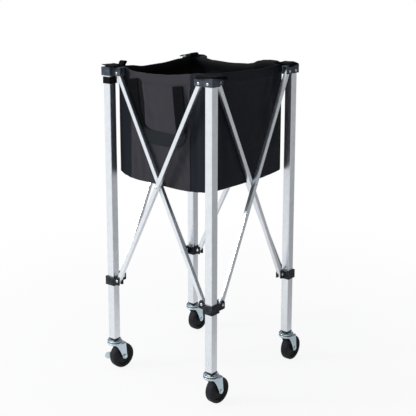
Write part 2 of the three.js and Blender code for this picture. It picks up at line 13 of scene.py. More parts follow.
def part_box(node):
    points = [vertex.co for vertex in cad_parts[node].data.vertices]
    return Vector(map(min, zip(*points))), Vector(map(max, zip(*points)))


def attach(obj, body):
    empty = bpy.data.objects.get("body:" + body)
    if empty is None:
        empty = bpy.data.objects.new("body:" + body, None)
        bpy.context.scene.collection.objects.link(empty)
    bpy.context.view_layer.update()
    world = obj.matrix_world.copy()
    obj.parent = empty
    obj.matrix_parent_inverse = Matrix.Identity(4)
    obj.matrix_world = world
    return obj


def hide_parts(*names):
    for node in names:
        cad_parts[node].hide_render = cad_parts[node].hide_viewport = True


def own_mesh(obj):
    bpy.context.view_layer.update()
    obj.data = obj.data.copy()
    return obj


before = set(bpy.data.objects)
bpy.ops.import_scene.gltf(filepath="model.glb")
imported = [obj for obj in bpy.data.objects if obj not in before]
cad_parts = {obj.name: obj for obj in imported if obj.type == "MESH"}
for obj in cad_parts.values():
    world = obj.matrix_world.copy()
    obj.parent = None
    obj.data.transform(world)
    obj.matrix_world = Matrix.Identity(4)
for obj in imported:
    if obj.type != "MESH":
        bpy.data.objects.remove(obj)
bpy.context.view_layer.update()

MM = 0.001
bag_low, bag_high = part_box("bag")
CART = Matrix.Translation(((bag_low.x + bag_high.x) / 2, (bag_low.y + bag_high.y) / 2, 0))
CORNERS = ["front_right", "back_right", "back_left", "front_left"]
SIDES = ["front", "right", "back", "left"]
# Which leg carries each side of the bag, and the way that side closes up
SIDE_RIDES = {"front": ("leg_front_left", (1, 0, 0)), "right": ("leg_front_right", (0, 1, 0)),
              "back": ("leg_back_left", (1, 0, 0)), "left": ("leg_front_left", (0, 1, 0))}

# Sizes shared with the solids
LEG_AXIS = 186.5
LEG_FOOT, LEG_TOP = 102.0, 921.7
LEG_WIDTH, LEG_WALL = 25.0, 1.6
BRACE_WIDTH, BRACE_WALL = 12.5, 1.3
HOUSING_HALF = 17.0
TOP_PIVOT, LOW_PIVOT, PIVOT_REACH = 910.0, 292.0, 155.25
OUTER_MIDDLE, INNER_MIDDLE = 8.05, -5.05  # each layer of braces, out from the leg's axis
BRACKET_TOP = 926.0
BAG_HALF, BAG_CORNER, BAG_FLOOR = 169.9, 10.0, 607.0
BAG_FLAT = BAG_HALF - BAG_CORNER
FOLDED_HALF = 48.9  # the bag's half width when the cart is folded
PANEL_KEEP = (FOLDED_HALF - BAG_CORNER) / BAG_FLAT
AXLE_HEIGHT, TRAIL = 38.1, 25.5  # the wheel's centre, and how far it trails behind the stem
# Degrees from +X to the way in which each caster trails
HEADING = {"front_right": 86, "back_right": 90, "back_left": 90, "front_left": 81}


# ------------------------------------------------------------------ places

def at_corner(corner):
    """From a canonical leg (the front right one, leg axis at the origin) to a corner of the cart."""
    turn = Matrix.Rotation(CORNERS.index(corner) * math.pi / 2, 4, "Z")
    return CART @ turn @ Matrix.Translation((LEG_AXIS * MM, -LEG_AXIS * MM, 0))


def on_side(side):
    """From the canonical front side to a side of the cart."""
    return CART @ Matrix.Rotation(SIDES.index(side) * math.pi / 2, 4, "Z")


def at_caster(corner):
    """From a caster that trails towards +Y to the caster of a corner."""
    x, y = at_corner(corner).translation[:2]
    return Matrix.Translation((x, y, 0)) @ Matrix.Rotation(math.radians(HEADING[corner] - 90), 4, "Z")


def add(name, data):
    made = bpy.data.objects.new(name, data)
    bpy.context.collection.objects.link(made)
    return made


# ------------------------------------------------------------------ node trees

class Graph:
    """Short ways to fill a node tree. A value is either a socket to link or a constant."""

    def __init__(self, tree):
        self.tree = tree

    def plug(self, socket, value):
        if isinstance(value, bpy.types.NodeSocket):
            self.tree.links.new(value, socket)
        else:
            socket.default_value = value

    def fed(self, kind, values, operation=None):
        """A new node with values in its inputs, by label or by number."""
        made = self.tree.nodes.new(kind)
        if operation:
            made.operation = operation
        for label, value in values.items():
            self.plug(made.inputs[label], value)
        return made

    def math(self, operation, *values):
        return self.fed("ShaderNodeMath", dict(enumerate(values)), operation).outputs[0]

    def reach(self, vector, way):
        """How far a vector goes in a direction."""
        return self.fed("ShaderNodeVectorMath", {0: vector, 1: way}, "DOT_PRODUCT").outputs["Value"]

    def spread(self, value, low=0.0, high=1.0, to_low=0.0, to_high=1.0):
        return self.fed("ShaderNodeMapRange", {"Value": value, "From Min": low, "From Max": high,
                                               "To Min": to_low, "To Max": to_high}).outputs["Result"]

    def blend_to(self, out, share, first, second):
        """Ends the tree in a mix of two shaders."""
        mix = self.fed("ShaderNodeMixShader", {0: share, 1: first.outputs[0], 2: second.outputs[0]})
        self.fed(out, {"Surface": mix.outputs[0]})


class Effect(Graph):
    """A node group that makes masks and heights out of a vector and some numbers."""

    def __init__(self, name, results, **numbers):
        super().__init__(bpy.data.node_groups.new(name, "ShaderNodeTree"))
        self.tree.interface.new_socket("Vector", in_out="INPUT", socket_type="NodeSocketVector")
        for label, value in numbers.items():
            socket = self.tree.interface.new_socket(label, in_out="INPUT", socket_type="NodeSocketFloat")
            socket.default_value = value
        for label in results:
            self.tree.interface.new_socket(label, in_out="OUTPUT", socket_type="NodeSocketFloat")
        self.given = self.tree.nodes.new("NodeGroupInput").outputs
        self.result = self.tree.nodes.new("NodeGroupOutput").inputs

    def noise(self, scale, detail=2.0, roughness=0.5, vector=None):
        return self.fed("ShaderNodeTexNoise", {"Vector": vector or self.given["Vector"], "Scale": scale,
                                               "Detail": detail, "Roughness": roughness}).outputs["Fac"]

    def split(self, vector):
        return self.fed("ShaderNodeSeparateXYZ", {0: vector}).outputs


# ------------------------------------------------------------------ camera, light and floor

WHITE = (1, 1, 1, 1)


def set_stage():
    camera = bpy.data.cameras.new("camera")
    camera.lens, camera.sensor_width = 81.51, 36.0
    camera.shift_x, camera.shift_y = 0.0164, -0.1665
    camera.clip_start, camera.clip_end = 0.1, 60.0
    eye = add("camera", camera)
    eye.location = CART @ Vector((1.7061, -2.1025, 1.2594))
    target = CART @ Vector((0, 0, 0.7099))
    eye.rotation_euler = (target - eye.location).to_track_quat("-Z", "Y").to_euler()
    bpy.context.scene.camera = eye

    for name, place, size, power in (
        ("key_light", (-2.3, -2.8, 2.4), 0.9, 64),
        ("top_light", (-0.5, -0.4, 3.4), 2.4, 30),
        ("back_light", (2.4, 2.2, 2.4), 1.6, 2),
    ):
        lamp = bpy.data.lights.new(name, "AREA")
        lamp.shape, lamp.size, lamp.energy = "SQUARE", size, power
        holder = add(name, lamp)
        holder.location = place
        holder.rotation_euler = (Vector((0, 0, 0.5)) - Vector(place)).to_track_quat("-Z", "Y").to_euler()

    make_world()
    floor, reach = bpy.data.meshes.new("floor"), 30.0
    corners = [(x * reach, y * reach, 0) for x, y in ((-1, -1), (1, -1), (1, 1), (-1, 1))]
    floor.from_pydata(corners, [], [(0, 1, 2, 3)])
    floor.materials.append(floor_material())
    add("floor", floor)
    bpy.context.scene.view_settings.view_transform = "Standard"


def seen_directly(graph, path, mirrored=0.0):
    """1 for rays from the camera or through glass, and a share for those that metal mirrors."""
    direct = graph.math("MAXIMUM", path["Is Camera Ray"], path["Is Transmission Ray"])
    return graph.math("MAXIMUM", direct, graph.math("MULTIPLY", path["Is Glossy Ray"], mirrored))


def make_world():
    """A white backdrop to the eye. To the cart, a room that is bright in front and on the left."""
    world = bpy.data.worlds.new("studio")
    bpy.context.scene.world = world
    world.use_nodes = True
    graph = Graph(world.node_tree)
    graph.tree.nodes.clear()
    path = graph.tree.nodes.new("ShaderNodeLightPath").outputs
    way = graph.tree.nodes.new("ShaderNodeTexCoord").outputs["Generated"]
    level = graph.spread(graph.reach(way, (-0.5, -0.78, 0.38)), -0.6, 0.8, 0.07, 0.78)
    # matt surfaces get less of it than metal mirrors, so that the lamps' shadows stay deep
    strength = graph.math("MULTIPLY", level, graph.spread(path["Is Diffuse Ray"], to_low=1.0, to_high=0.55))
    room = graph.fed("ShaderNodeBackground", {"Color": (0.9, 0.95, 1.0, 1), "Strength": strength})
    backdrop = graph.fed("ShaderNodeBackground", {"Color": WHITE})
    graph.blend_to("ShaderNodeOutputWorld", seen_directly(graph, path), room, backdrop)


def floor_material():
    """Pale paper: near the cart it takes the shadows, further off it fades into the white backdrop."""
    material = bpy.data.materials.new("floor")
    material.use_nodes = True
    graph = Graph(material.node_tree)
    graph.tree.nodes.clear()
    path = graph.tree.nodes.new("ShaderNodeLightPath").outputs
    place = graph.tree.nodes.new("ShaderNodeTexCoord").outputs["Object"]
    away = graph.fed("ShaderNodeVectorMath", {0: place}, "LENGTH").outputs["Value"]
    share = graph.math("MULTIPLY", seen_directly(graph, path, 0.85), graph.spread(away, 0.5, 1.6, 0.9, 1.0))
    # what metal mirrors of the floor dims to the right and the back, as the room does, and lightens far off
    across = graph.reach(place, (0.86, 0.5, 0.0))
    mirrored = graph.math("ADD", graph.spread(across, -0.2, 0.8, 1.0, 0.37), graph.spread(across, 1.5, 5.0, 0.0, 0.2))
    strength = graph.fed("ShaderNodeMix", {"Factor": path["Is Glossy Ray"], "A": 1.0, "B": mirrored})
    paper = graph.fed("ShaderNodeBsdfDiffuse", {"Color": (0.9, 0.9, 0.9, 1)})
    glow = graph.fed("ShaderNodeEmission", {"Color": WHITE, "Strength": strength.outputs["Result"]})
    graph.blend_to("ShaderNodeOutputMaterial", share, paper, glow)
    return material


# ------------------------------------------------------------------ effects that several materials use

def make_woven():
    """Plain weave: threads over and under each other, pitch in metres of the surface's own map."""
    e = Effect("woven_threads", ["Height", "Weft"], Pitch=0.0006)
    across = e.split(e.given["Vector"])
    u, v = (e.math("DIVIDE", across[axis], e.given["Pitch"]) for axis in (0, 1))
    crossing = e.math("MODULO", e.math("ABSOLUTE", e.math("ADD", e.math("FLOOR", u), e.math("FLOOR", v))), 2.0)
    warp, weft = (e.math("ABSOLUTE", e.math("SINE", e.math("MULTIPLY", way, math.pi))) for way in (u, v))
    lower = e.math("MULTIPLY", weft, e.math("SUBTRACT", 1.0, crossing))
    e.plug(e.result["Height"], e.math("ADD", e.math("MULTIPLY", warp, crossing), lower))
    e.plug(e.result["Weft"], crossing)
    return e.tree


def make_mottled():
    """Soft uneven tone at two scales, from 0 to 1."""
    e = Effect("mottled", ["Value"], Scale=10.0, Fine=0.3)
    broad = e.math("MULTIPLY", e.noise(e.given["Scale"], 3.0), e.math("SUBTRACT", 1.0, e.given["Fine"]))
    fine = e.math("MULTIPLY", e.noise(e.math("MULTIPLY", e.given["Scale"], 14.0)), e.given["Fine"])
    e.plug(e.result["Value"], e.spread(e.math("ADD", broad, fine), 0.3, 0.7))
    return e.tree


def make_drawn_lines():
    """Faint lines that run along a drawn or extruded bar, along Z of the vector."""
    e = Effect("drawn_lines", ["Value"], Scale=900.0)
    long_way = e.fed("ShaderNodeMapping", {"Vector": e.given["Vector"], "Scale": (1.0, 1.0, 0.006)}).outputs[0]
    e.plug(e.result["Value"], e.spread(e.noise(e.given["Scale"], 3.0, 0.6, long_way), 0.3, 0.7))
    return e.tree


def make_worn_edges():
    """Where hands and neighbours rub: the raised edges, broken up by noise."""
    e = Effect("worn_edges", ["Mask"], Scale=80.0, Reach=0.56)
    geometry = e.tree.nodes.new("ShaderNodeNewGeometry")
    edge = e.spread(geometry.outputs["Pointiness"], 0.5, e.given["Reach"])
    broken = e.spread(e.noise(e.given["Scale"], 4.0, 0.65), 0.35, 0.6)
    e.plug(e.result["Mask"], e.math("MULTIPLY", edge, broken))
    return e.tree


def make_height_band():
    """1 below a height of the object and 0 above it, with a soft edge."""
    e = Effect("height_band", ["Mask"], Low=0.0, High=1.0)
    e.plug(e.result["Mask"], e.spread(e.split(e.given["Vector"])[2], e.given["Low"], e.given["High"], 1.0, 0.0))
    return e.tree


def make_dust():
    """Dust that settles on what faces up."""
    e = Effect("settled_dust", ["Mask"], Scale=60.0, Amount=0.3)
    geometry = e.tree.nodes.new("ShaderNodeNewGeometry")
    up = e.spread(e.split(geometry.outputs["Normal"])[2])
    patchy = e.spread(e.noise(e.given["Scale"], 5.0, 0.7), 0.3, 0.75)
    e.plug(e.result["Mask"], e.math("MULTIPLY", e.math("MULTIPLY", up, patchy), e.given["Amount"]))
    return e.tree


WOVEN, MOTTLED, DRAWN, WORN, DUST = make_woven(), make_mottled(), make_drawn_lines(), make_worn_edges(), make_dust()
BAND = make_height_band()


class Finish(Graph):
    """A material with one Principled shader, its colour and roughness built up from effects."""

    def __init__(self, name, color, **plain):
        self.material = bpy.data.materials.new(name)
        self.material.use_nodes = True
        super().__init__(self.material.node_tree)
        self.shader = self.tree.nodes["Principled BSDF"]
        for label, value in plain.items():
            self.shader.inputs[label.replace("_", " ").title().replace("Ior", "IOR")].default_value = value
        self.color, self.roughness, self.normal = (*color, 1), None, None
        self.place = self.tree.nodes.new("ShaderNodeTexCoord").outputs

    def effect(self, tree, vector="Object", **values):
        node = self.tree.nodes.new("ShaderNodeGroup")
        node.node_tree = tree
        self.plug(node.inputs["Vector"], self.place[vector])
        for label, value in values.items():
            node.inputs[label].default_value = value
        return node.outputs

    def tint(self, mask, color, amount):
        """Mixes another colour in where the mask is high."""
        mix = self.tree.nodes.new("ShaderNodeMix")
        mix.data_type = "RGBA"
        self.plug(mix.inputs["Factor"], self.math("MULTIPLY", mask, amount))
        self.plug(mix.inputs["A"], self.color)
        self.plug(mix.inputs["B"], (*color, 1))
        self.color = mix.outputs["Result"]
        return self

    def rough(self, mask, low, high):
        """Roughness that goes from low to high with the mask."""
        self.roughness = self.spread(mask, to_low=low, to_high=high)
        return self

    def bump(self, height, depth, strength):
        node = self.fed("ShaderNodeBump", {"Height": height, "Distance": depth, "Strength": strength})
        if self.normal is not None:
            self.plug(node.inputs["Normal"], self.normal)
        self.normal = node.outputs["Normal"]
        return self

    def done(self):
        for label, value in (("Base Color", self.color), ("Roughness", self.roughness), ("Normal", self.normal)):
            if value is not None:
                self.plug(self.shader.inputs[label], value)
        return self.material


# ------------------------------------------------------------------ materials

def metal(name, color, rough, cloud, pale, wear_and_painted_light=None, bloom=None, lines=None):
    """Bare metal with a cloudy tone. Cloud is (scale, fine), pale (colour, share), worn (scale, colour, share)
    for its edges, and bloom and lines are the (depth, strength) of a relief."""
    f = Finish(name, color, metallic=1.0)
    tone = f.effect(MOTTLED, Scale=cloud[0], Fine=cloud[1])["Value"]
    f.tint(tone, *pale).rough(tone, *rough)
    if wear_and_painted_light:
        f.tint(f.effect(WORN, Scale=wear_and_painted_light[0])["Mask"], *wear_and_painted_light[1:])
    if bloom:
        f.bump(tone, *bloom)
    if lines:
        f.bump(f.effect(DRAWN)["Value"], *lines)
    return f.done()


def moulded(name, color, low, high, shine=0.25):
    f = Finish(name, color, specular_ior_level=shine)
    grain = f.effect(MOTTLED, Scale=900.0, Fine=0.5)["Value"]
    cloud = f.effect(MOTTLED, Scale=25.0, Fine=0.25)["Value"]
    f.tint(cloud, tuple(c * 1.5 for c in color), 0.5)
    f.tint(f.effect(WORN, Scale=110.0)["Mask"], (0.16, 0.165, 0.17), 0.5)
    return f.rough(cloud, low, high).bump(grain, 0.00005, 0.35).done()


def rubber(name):
    f = Finish(name, (0.012, 0.0135, 0.018), specular_ior_level=0.25)
    speckle = f.effect(MOTTLED, Scale=160.0, Fine=0.6)["Value"]
    cloud = f.effect(MOTTLED, Scale=30.0, Fine=0.3)["Value"]
    f.tint(cloud, (0.022, 0.023, 0.028), 0.6)
    f.tint(f.effect(DUST, Scale=90.0, Amount=0.5)["Mask"], (0.12, 0.115, 0.11), 0.3)
    return f.rough(speckle, 0.5, 0.75).bump(speckle, 0.0002, 0.3).done()


def nylon(name, color, pale, sheen, shine=0.12):
    pitch = 0.0007
    f = Finish(name, color, sheen_weight=sheen, sheen_roughness=0.45, specular_ior_level=shine)
    threads = f.effect(WOVEN, "UV", Pitch=pitch)
    cloud = f.effect(MOTTLED, Scale=14.0, Fine=0.25)["Value"]
    f.tint(cloud, pale, 0.55).tint(threads["Weft"], pale, 0.12)
    return f.rough(cloud, 0.46, 0.64).bump(threads["Height"], pitch * 0.3, 0.35).bump(cloud, 0.0012, 0.25).done()


def woven_band(name, color, pale, pitch, wear_and_painted_light=None):
    f = Finish(name, color, sheen_weight=0.02, sheen_roughness=0.5, specular_ior_level=0.05)
    threads = f.effect(WOVEN, "UV", Pitch=pitch)
    cloud = f.effect(MOTTLED, Scale=40.0, Fine=0.4)["Value"]
    f.tint(cloud, pale, 0.5).tint(threads["Weft"], pale, 0.35)
    if wear_and_painted_light:  # paler below a height: painted light and sheen on the handle's lower run, which faces up
        low, high, lit_tone = wear_and_painted_light
        f.tint(f.effect(BAND, Low=low, High=high)["Mask"], lit_tone, 0.6)
    return f.rough(cloud, 0.66, 0.86).bump(threads["Height"], pitch * 0.35, 0.8).done()


ALUMINIUM = metal("satin_aluminium", (0.80, 0.845, 0.895), (0.31, 0.38), (7.0, 0.25), ((0.765, 0.81, 0.86), 0.5),
                  (60.0, (0.93, 0.94, 0.96), 0.5), lines=(0.00003, 0.3))
ZINC = metal("bright_zinc", (0.57, 0.70, 0.785), (0.27, 0.42), (42.0, 0.35), ((0.74, 0.79, 0.76), 0.3),
             (90.0, (0.92, 0.93, 0.93), 0.6), bloom=(0.00006, 0.2))
# The oiled race between the two rims of a caster's swivel
YELLOW_ZINC = metal("yellow_zinc", (0.42, 0.37, 0.27), (0.3, 0.5), (70.0, 0.4), ((0.2, 0.2, 0.17), 0.7))
RIVET = metal("rivet_steel", (0.86, 0.87, 0.88), (0.2, 0.36), (120.0, 0.5), ((0.7, 0.71, 0.73), 0.4),
              bloom=(0.00003, 0.2))
BLACK_PLASTIC = moulded("black_moulding", (0.040, 0.058, 0.084), 0.4, 0.54, 0.14)
SLIDER_PLASTIC = moulded("slider_moulding", (0.006, 0.009, 0.0135), 0.4, 0.54, 0.12)
# Black plastic of the leg plugs; also the painted shade of the axle screw's cross recess.
PLUG_PLASTIC_AND_PAINTED_SHADE = moulded("plug_plastic", (0.02, 0.021, 0.023), 0.45, 0.6)
RUBBER = rubber("wheel_rubber")
PANEL_NYLON = nylon("bag_panel_nylon", (0.040, 0.039, 0.047), (0.058, 0.055, 0.066), 0.06)
# Darker cloth round the corners and on the left and right sides; the strip by the left legs is widened to paint the
# left leg's shadow.
CORNER_NYLON = nylon("bag_corner_nylon", (0.0095, 0.012, 0.018), (0.015, 0.0185, 0.027), 0.03)
BAG_INSIDE = nylon("bag_lining", (0.006, 0.0065, 0.0075), (0.010, 0.010, 0.011), 0.03)
PATCH_NYLON = nylon("corner_patch_nylon", (0.0035, 0.004, 0.0055), (0.007, 0.0078, 0.0105), 0.005, 0.03)
STRAP_TONES = (0.003, 0.0036, 0.0045), (0.006, 0.0075, 0.009), 0.0014
WEBBING = woven_band("black_webbing", *STRAP_TONES)
# The handle is painted paler below 752 mm: painted light and sheen on its lower run, which faces up.
HANDLE_WEBBING = woven_band("handle_webbing", *STRAP_TONES, wear_and_painted_light=(0.752, 0.766, (0.05, 0.056, 0.06)))
THREAD = woven_band("sewing_thread", (0.035, 0.035, 0.038), (0.07, 0.07, 0.072), 0.0004)
TIE_FABRIC = woven_band("hook_and_loop", (0.008, 0.0075, 0.0075), (0.018, 0.016, 0.015), 0.0009)


# ------------------------------------------------------------------ making pieces

def add_map(mesh, uv):
    """Gives the mesh its flat map, from one place in millimetres for each vertex."""
    layer = mesh.uv_layers.new(name="map")
    corner = np.zeros(len(mesh.loops), np.int32)
    mesh.loops.foreach_get("vertex_index", corner)
    layer.data.foreach_set("uv", (np.asarray(uv, float)[corner] * MM).astype(np.float32).ravel())


def piece(name, points, faces, material, body, place=CART, replaces=(), slot=None, sharp=35.0, uv=None):
    """A mesh from points in millimetres, put in place and set to ride on a body."""
    mesh = bpy.data.meshes.new(name)
    mesh.from_pydata((np.asarray(points, float) * MM).tolist(), [], [tuple(map(int, f)) for f in faces])
    if uv is not None:
        add_map(mesh, uv)
    mesh.polygons.foreach_set("use_smooth", [True] * len(mesh.polygons))
    mesh.set_sharp_from_angle(angle=math.radians(sharp))
    mesh.materials.append(material)
    made = add(name, mesh)
    made.matrix_world = place
    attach(made, body)
    if replaces:
        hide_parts(*replaces)
    return made


def ring_faces(rings, count):
    """Four-sided faces between rings of as many points, one ring after the other."""
    return [(r * count + i, r * count + (i + 1) % count, (r + 1) * count + (i + 1) % count, (r + 1) * count + i)
            for r in range(rings - 1) for i in range(count)]


def lathe(profile, steps):
    """Points and faces of a profile of (radius, height) turned about Z. A radius of 0 is a pole."""
    points, rings = [], []
    for radius, height in profile:
        if radius < 1e-6:
            rings.append([len(points)] * steps)
            points.append((0, 0, height))
        else:
            rings.append([len(points) + i for i in range(steps)])
            turns = [2 * math.pi * i / steps for i in range(steps)]
            points += [(radius * math.cos(a), radius * math.sin(a), height) for a in turns]
    faces = []
    for low, high in zip(rings, rings[1:]):
        for i in range(steps):
            j = (i + 1) % steps
            face = list(dict.fromkeys((low[i], low[j], high[j], high[i])))
            if len(face) > 2:
                faces.append(face)
    return points, faces


def fillet(profile, radius, steps=4):
    """Rounds the inner corners of an open profile of 2-D points."""
    out = [profile[0]]
    for before, corner, after in zip(profile, profile[1:], profile[2:]):
        a, c, b = (np.array(p, float) for p in (before, corner, after))
        r = min(radius, 0.45 * np.linalg.norm(a - c), 0.45 * np.linalg.norm(b - c))
        if r < 1e-4:
            out.append(tuple(c))
            continue
        start, end = c + (a - c) / np.linalg.norm(a - c) * r, c + (b - c) / np.linalg.norm(b - c) * r
        for i in range(steps + 1):
            t = i / steps
            out.append(tuple((1 - t) ** 2 * start + 2 * t * (1 - t) * c + t * t * end))
    return out + [profile[-1]]


def rounded_square(half, radius, steps=5):
    """Points round a square with round corners, anticlockwise from the lower right corner's start."""
    points = []
    for cx, cy, start in ((1, -1, -90), (1, 1, 0), (-1, 1, 90), (-1, -1, 180)):
        for i in range(steps + 1):
            a = math.radians(start + 90 * i / steps)
            reach = half - radius
            points.append((cx * reach + radius * math.cos(a), cy * reach + radius * math.sin(a)))
    return points


def square_tube(width, wall, radius, low, high, bevel=0.4):
    """An extruded square tube with its cut ends broken, its wall seen at both ends."""
    half = width / 2
    outer, near = rounded_square(half, radius), rounded_square(half - bevel, radius - bevel / 2)
    inner = rounded_square(half - wall, max(radius - wall, 0.4))
    rings = [(outer, low + bevel), (near, low), (inner, low), (inner, high), (near, high), (outer, high - bevel)]
    count = len(outer)
    points = [(x, y, z) for ring, z in rings for x, y in ring]
    faces = []
    for r in range(len(rings)):
        s = (r + 1) % len(rings)
        for i in range(count):
            j = (i + 1) % count
            faces.append((s * count + i, s * count + j, r * count + j, r * count + i))
    return points, faces


def domed_rivet(low, high, radius=4.2, crown=1.9, shank=2.9):
    """A rolled hollow rivet along Z: a domed head round a deep bore on each end of its span."""
    def head(face, way):
        arc = [(radius * math.cos(a), face + way * (0.35 + (crown - 0.35) * math.sin(a)))
               for a in (math.radians(d) for d in (58, 45, 30, 14))]
        bore = [(0, face - way * 5.0), (1.3, face - way * 4.9), (1.4, face + way * 0.5),
                (1.7, face + way * (crown - 0.25))]
        return [*bore, *arc, (radius, face + way * 0.3), (radius - 0.1, face), (shank, face)]
    return [*head(low, -1), *reversed(head(high, 1))]


FACING_FRONT = Matrix(((1, 0, 0, 0), (0, 0, -1, 0), (0, 1, 0, 0), (0, 0, 0, 1)))  # Z of a piece to -Y, Y to Z


def mm_matrix(x, y, z):
    return Matrix.Translation((x * MM, y * MM, z * MM))


def soften(node, material, width):
    """Breaks a solid's sharp edges with a small bevel and gives it its material."""
    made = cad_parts[node]
    made.data.materials.clear()
    made.data.materials.append(material)
    weld = made.modifiers.new("weld", "WELD")
    weld.merge_threshold = 0.00002
    bevel = made.modifiers.new("broken_edges", "BEVEL")
    bevel.width, bevel.segments, bevel.limit_method = width * MM, 3, "ANGLE"
    bevel.angle_limit, bevel.use_clamp_overlap, bevel.harden_normals = math.radians(40), True, False


# ------------------------------------------------------------------ legs, brackets and braces

def make_legs():
    tube = square_tube(LEG_WIDTH, LEG_WALL, 2.2, LEG_FOOT, LEG_TOP)
    rivet = domed_rivet(11.4, HOUSING_HALF + 0.3)
    head = lathe(rivet[len(rivet) // 2 - 1:], 24)  # the outer half of it only
    pin = lathe([(0, 13.3), (1.3, 13.3), (1.9, 12.9), (2.0, 12.5), (2.0, 12.0)], 20)
    pin_height = LEG_FOOT + 25
    rim = square_tube(LEG_WIDTH + 1.2, 4.4, 1.6, LEG_FOOT - 3.4, LEG_FOOT - 0.1)
    for corner in CORNERS:
        body = f"leg_{corner}"
        place = at_corner(corner)
        piece(f"leg_tube_{corner}", *tube, ALUMINIUM, body, place, [f"leg_{corner}"], "aluminium_tube")
        piece(f"bracket_rivet_{corner}", *head, RIVET, body, place @ mm_matrix(0, 0, TOP_PIVOT) @ FACING_FRONT,
              slot="zinc_steel")
        for end, turn in (("near", 0), ("far", math.pi)):
            through = place @ Matrix.Rotation(turn, 4, "Z") @ mm_matrix(0, 0, pin_height) @ FACING_FRONT
            piece(f"foot_pin_{end}_{corner}", *pin, RIVET, body, through, slot="zinc_steel")
        soften(f"top_bracket_{corner}", BLACK_PLASTIC, 0.8)
        soften(f"slider_{corner}", SLIDER_PLASTIC, 0.8)
        soften(f"leg_plug_{corner}", PLUG_PLASTIC_AND_PAINTED_SHADE, 0.3)
        piece(f"plug_rim_{corner}", *rim, PLUG_PLASTIC_AND_PAINTED_SHADE, body, place, slot="black_plastic")


def make_braces():
    span = math.hypot(2 * PIVOT_REACH, TOP_PIVOT - LOW_PIVOT)
    lean = math.atan2(2 * PIVOT_REACH, TOP_PIVOT - LOW_PIVOT)
    past_rivet, gap, ear, crossing_grip = 8, 0.3, 2.4, 13.1
    tube = square_tube(BRACE_WIDTH, BRACE_WALL, 1.4, -span / 2 - past_rivet, span / 2 + past_rivet)
    middle = (TOP_PIVOT + LOW_PIVOT) / 2
    grip = BRACE_WIDTH / 2 + gap + ear + gap
    rivet = lathe(domed_rivet(-grip, grip), 24)
    centre = lathe(domed_rivet(-crossing_grip, crossing_grip), 24)
    for side in SIDES:
        for layer, depth, way in (("outer", OUTER_MIDDLE, 1), ("inner", INNER_MIDDLE, -1)):
            body = f"brace_{side}_{layer}"
            place = on_side(side) @ mm_matrix(0, -LEG_AXIS - depth, middle) @ Matrix.Rotation(way * lean, 4, "Y")
            piece(f"brace_tube_{side}_{layer}", *tube, ALUMINIUM, body, place, [body], "aluminium_tube")
            for end, z in (("top", span / 2), ("foot", -span / 2)):
                piece(f"brace_rivet_{end}_{side}_{layer}", *rivet, RIVET, body,
                      place @ mm_matrix(0, 0, z) @ FACING_FRONT, slot="zinc_steel")
        piece(f"crossing_rivet_{side}", *centre, RIVET, f"brace_{side}_outer",
              on_side(side) @ mm_matrix(0, -LEG_AXIS - (OUTER_MIDDLE + INNER_MIDDLE) / 2, middle) @ FACING_FRONT,
              [f"centre_rivet_{side}"], "zinc_steel")


# ------------------------------------------------------------------ casters

def fork_sheet():
    """One bent sheet: up one leg, across the crown and down the other, as rows of (x, height, front, rear)."""
    tip, mid, crown, bend, rear = 8.2, 16.25, 81.75, 2.6, 30.7
    rows = []
    for angle in range(-90, 0, 10):
        half = max(tip * math.cos(math.radians(angle)), 0.6)
        rows.append((mid, AXLE_HEIGHT + tip * math.sin(math.radians(angle)), TRAIL - half, TRAIL + half))
    front = [(TRAIL - tip, AXLE_HEIGHT), (2.0, 75.2), (-10.5, 80.5)]

    def rear_at(height):
        return float(np.interp(height, (AXLE_HEIGHT, 75.5), (TRAIL + tip, rear)))

    for t in np.linspace(0, 0.93, 26):
        y, z = ((1 - t) ** 2 * a + 2 * t * (1 - t) * b + t * t * c for a, b, c in zip(*front))
        rows.append((mid, z, y, rear_at(z)))
    for angle in (15, 30, 45, 60, 75, 90):
        a = math.radians(angle)
        x, z = mid - bend * (1 - math.cos(a)), crown - bend * (1 - math.sin(a))
        rows.append((x, z, -8.6 - 1.9 * math.sin(a), rear))
    rows += [(-x, z, y0, y1) for x, z, y0, y1 in reversed(rows)]
    path = [(x, (y0 + y1) / 2, z) for x, z, y0, y1 in rows]
    flat = np.gradient(np.array([(x, 0, z) for x, z, y0, y1 in rows]), axis=0)
    flat /= np.linalg.norm(flat, axis=1)[:, None]
    across, width = np.tile([0.0, 1.0, 0.0], (len(rows), 1)), [y1 - y0 for x, z, y0, y1 in rows]
    return ribbon(path, across, width, 2.5, along=flat, edge=1.2, crown=0.7)[:2]


def brake_pedal():
    """A flat plate round the axle, forward to a wide D-shaped end that flares away from the wheel."""
    reach, round_end, rise, bend_from, flare = 44.5, 12.0, math.radians(-3), 23.0, math.radians(35)
    eye, wider, middle = 8.5, 3.0, -18.8  # the eye's radius, how much the end widens, its place along the axle
    path, width, along = [], [], []
    for s in [*np.linspace(0.1 - eye, 0, 8), *np.linspace(2, reach, 40)]:
        half = math.sqrt(max(eye ** 2 - s * s, 0.4)) if s < 0 else eye + wider * min(max(0.0, s - 5) / 25, 1)
        half *= math.sqrt(max(0.004, 1 - (max(0.0, s - reach + round_end) / round_end) ** 2))
        bent = max(0.0, s - bend_from)
        run = min(s, bend_from) + bent * math.cos(flare)
        x, y, z = middle - bent * math.sin(flare), TRAIL - run * math.cos(rise), AXLE_HEIGHT + run * math.sin(rise)
        path.append((x, y, z))
        width.append(2 * half)
        turn = flare * min(1.0, max(0.0, s - bend_from + 3) / 6)
        along.append((-math.sin(turn), -math.cos(turn), 0.0))
    across = np.tile([0.0, math.sin(rise), math.cos(rise)], (len(path), 1))
    return ribbon(path, across, width, 2.0, along=np.array(along), edge=0.9, crown=0.5)[:2]


